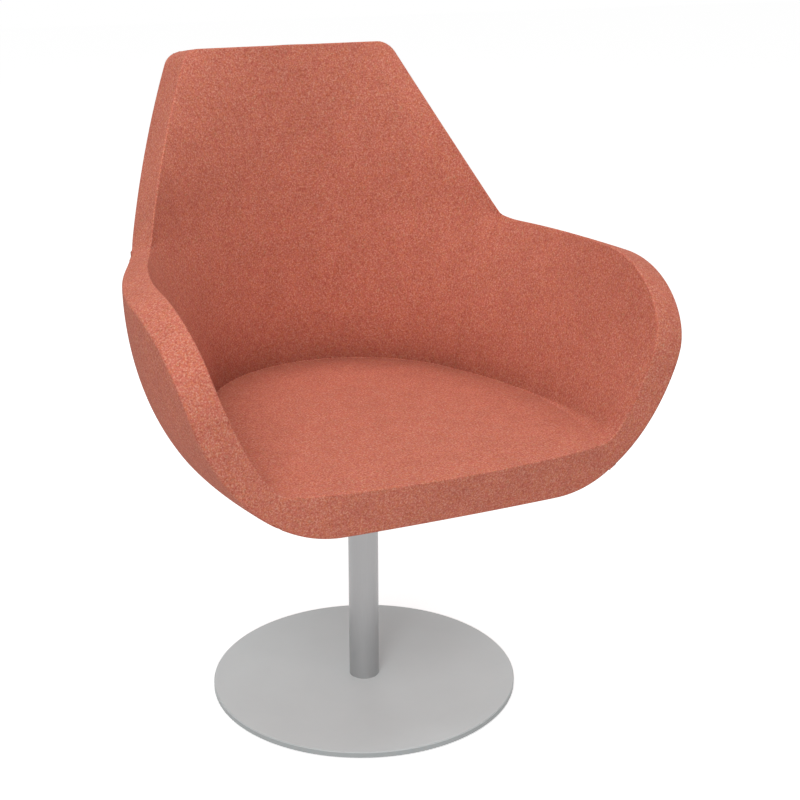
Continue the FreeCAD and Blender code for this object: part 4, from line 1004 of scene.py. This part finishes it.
rows = join(np.linspace(SEAM, -POCKET, 20), np.linspace(-POCKET, FRONT + 8, 20), FRONT + SEWN)
rows = np.unique(rows)[::-1]
columns = np.unique(join(
    np.linspace(0, POCKET, 10), np.linspace(POCKET, BOWL_FLAT, 5),
    np.linspace(BOWL_FLAT, UNDER_HALF, 16),
))
columns = join(-columns[::-1], columns[1:])
points = under_grid(rows, columns)
under = sewn_panel(points, (
    (points[-1], "edge"), (points[:, 0], "seam"), (points[:, -1], "seam"),
), 0.0, -1)
nose_edge = band[len(rim_out):, -1]
meet(under[::-1], join(mirrored(nose_edge), strip[:, 0], nose_edge[::-1]))
open_rows = np.abs((rows[:-1] + rows[1:]) / 2) < POCKET
open_columns = np.abs((columns[:-1] + columns[1:]) / 2) < POCKET
cloth_piece("under_cloth", under, -1, ("under_cover", "under_foam"),
            skip=lambda i, j: bool(open_rows[i] and open_columns[j]))
cloth_piece("under_rear_cloth", under_rear_grid(), 1, ())

# Floor, light and camera
FLOOR_HALF = 12
floor_mesh = bpy.data.meshes.new("floor")
floor_sides = ((-1, -1), (1, -1), (1, 1), (-1, 1))
floor_corners = [(x * FLOOR_HALF, y * FLOOR_HALF, 0) for x, y in floor_sides]
floor_mesh.from_pydata(floor_corners, [], [(0, 1, 2, 3)])
floor = bpy.data.objects.new("floor", floor_mesh)
bpy.context.scene.collection.objects.link(floor)
floor_finish, floor_tree, floor_shader = new_material("floor_white")
floor_shader.inputs["Base Color"].default_value = (0.8, 0.8, 0.8, 1)
floor_shader.inputs["Roughness"].default_value = 1.0
floor_shader.inputs["Specular IOR Level"].default_value = 0.0
floor_shader.inputs["Emission Color"].default_value = (1, 1, 1, 1)
floor_mesh.materials.append(floor_finish)


def seen_directly(tree, low, high, target):
    """Strength for what the camera, a reflection or glass sees, apart from what gives light."""
    rays = tree.nodes.new("ShaderNodeLightPath")
    seen = rays.outputs["Is Camera Ray"]
    for kind in ("Is Glossy Ray", "Is Transmission Ray"):
        either = tree.nodes.new("ShaderNodeMath")
        either.operation = "MAXIMUM"
        tree.links.new(seen, either.inputs[0])
        tree.links.new(rays.outputs[kind], either.inputs[1])
        seen = either.outputs[0]
    span = tree.nodes.new("ShaderNodeMapRange")
    span.inputs["To Min"].default_value = low
    span.inputs["To Max"].default_value = high
    tree.links.new(seen, span.inputs["Value"])
    tree.links.new(span.outputs["Result"], target)


seen_directly(floor_tree, 0.0, 0.62, floor_shader.inputs["Emission Strength"])
world = bpy.data.worlds.new("studio")
bpy.context.scene.world = world
world.use_nodes = True
background = world.node_tree.nodes["Background"]
background.inputs["Color"].default_value = (1, 1, 1, 1)
seen_directly(world.node_tree, 0.46, 1.0, background.inputs["Strength"])


def soft_light(name, place, aim, width, power):
    data = bpy.data.lights.new(name, "AREA")
    data.shape = "DISK"
    data.size = width
    data.energy = power
    lamp = bpy.data.objects.new(name, data)
    lamp.location = place
    lamp.rotation_euler = (Vector(aim) - Vector(place)).to_track_quat("-Z", "Y").to_euler()
    bpy.context.scene.collection.objects.link(lamp)


soft_light("key", (-2.0, -2.7, 2.9), (0, 0, 0.5), 1.8, 74)
soft_light("top", (0.2, -0.3, 3.6), (0, 0, 0.4), 2.2, 42)

# Camera fitted to the base disc's ellipses and the column's sides in the photograph
camera_data = bpy.data.cameras.new("camera")
camera_data.sensor_width = 36
camera_data.lens = 67.18
camera = bpy.data.objects.new("camera", camera_data)
camera.location = (-0.801, -1.837, 1.120)
camera.rotation_euler = Vector((0.4019, 0.8580, -0.3200)).to_track_quat("-Z", "Y").to_euler()
bpy.context.scene.collection.objects.link(camera)
bpy.context.scene.camera = camera
bpy.context.scene.view_settings.view_transform = "Standard"
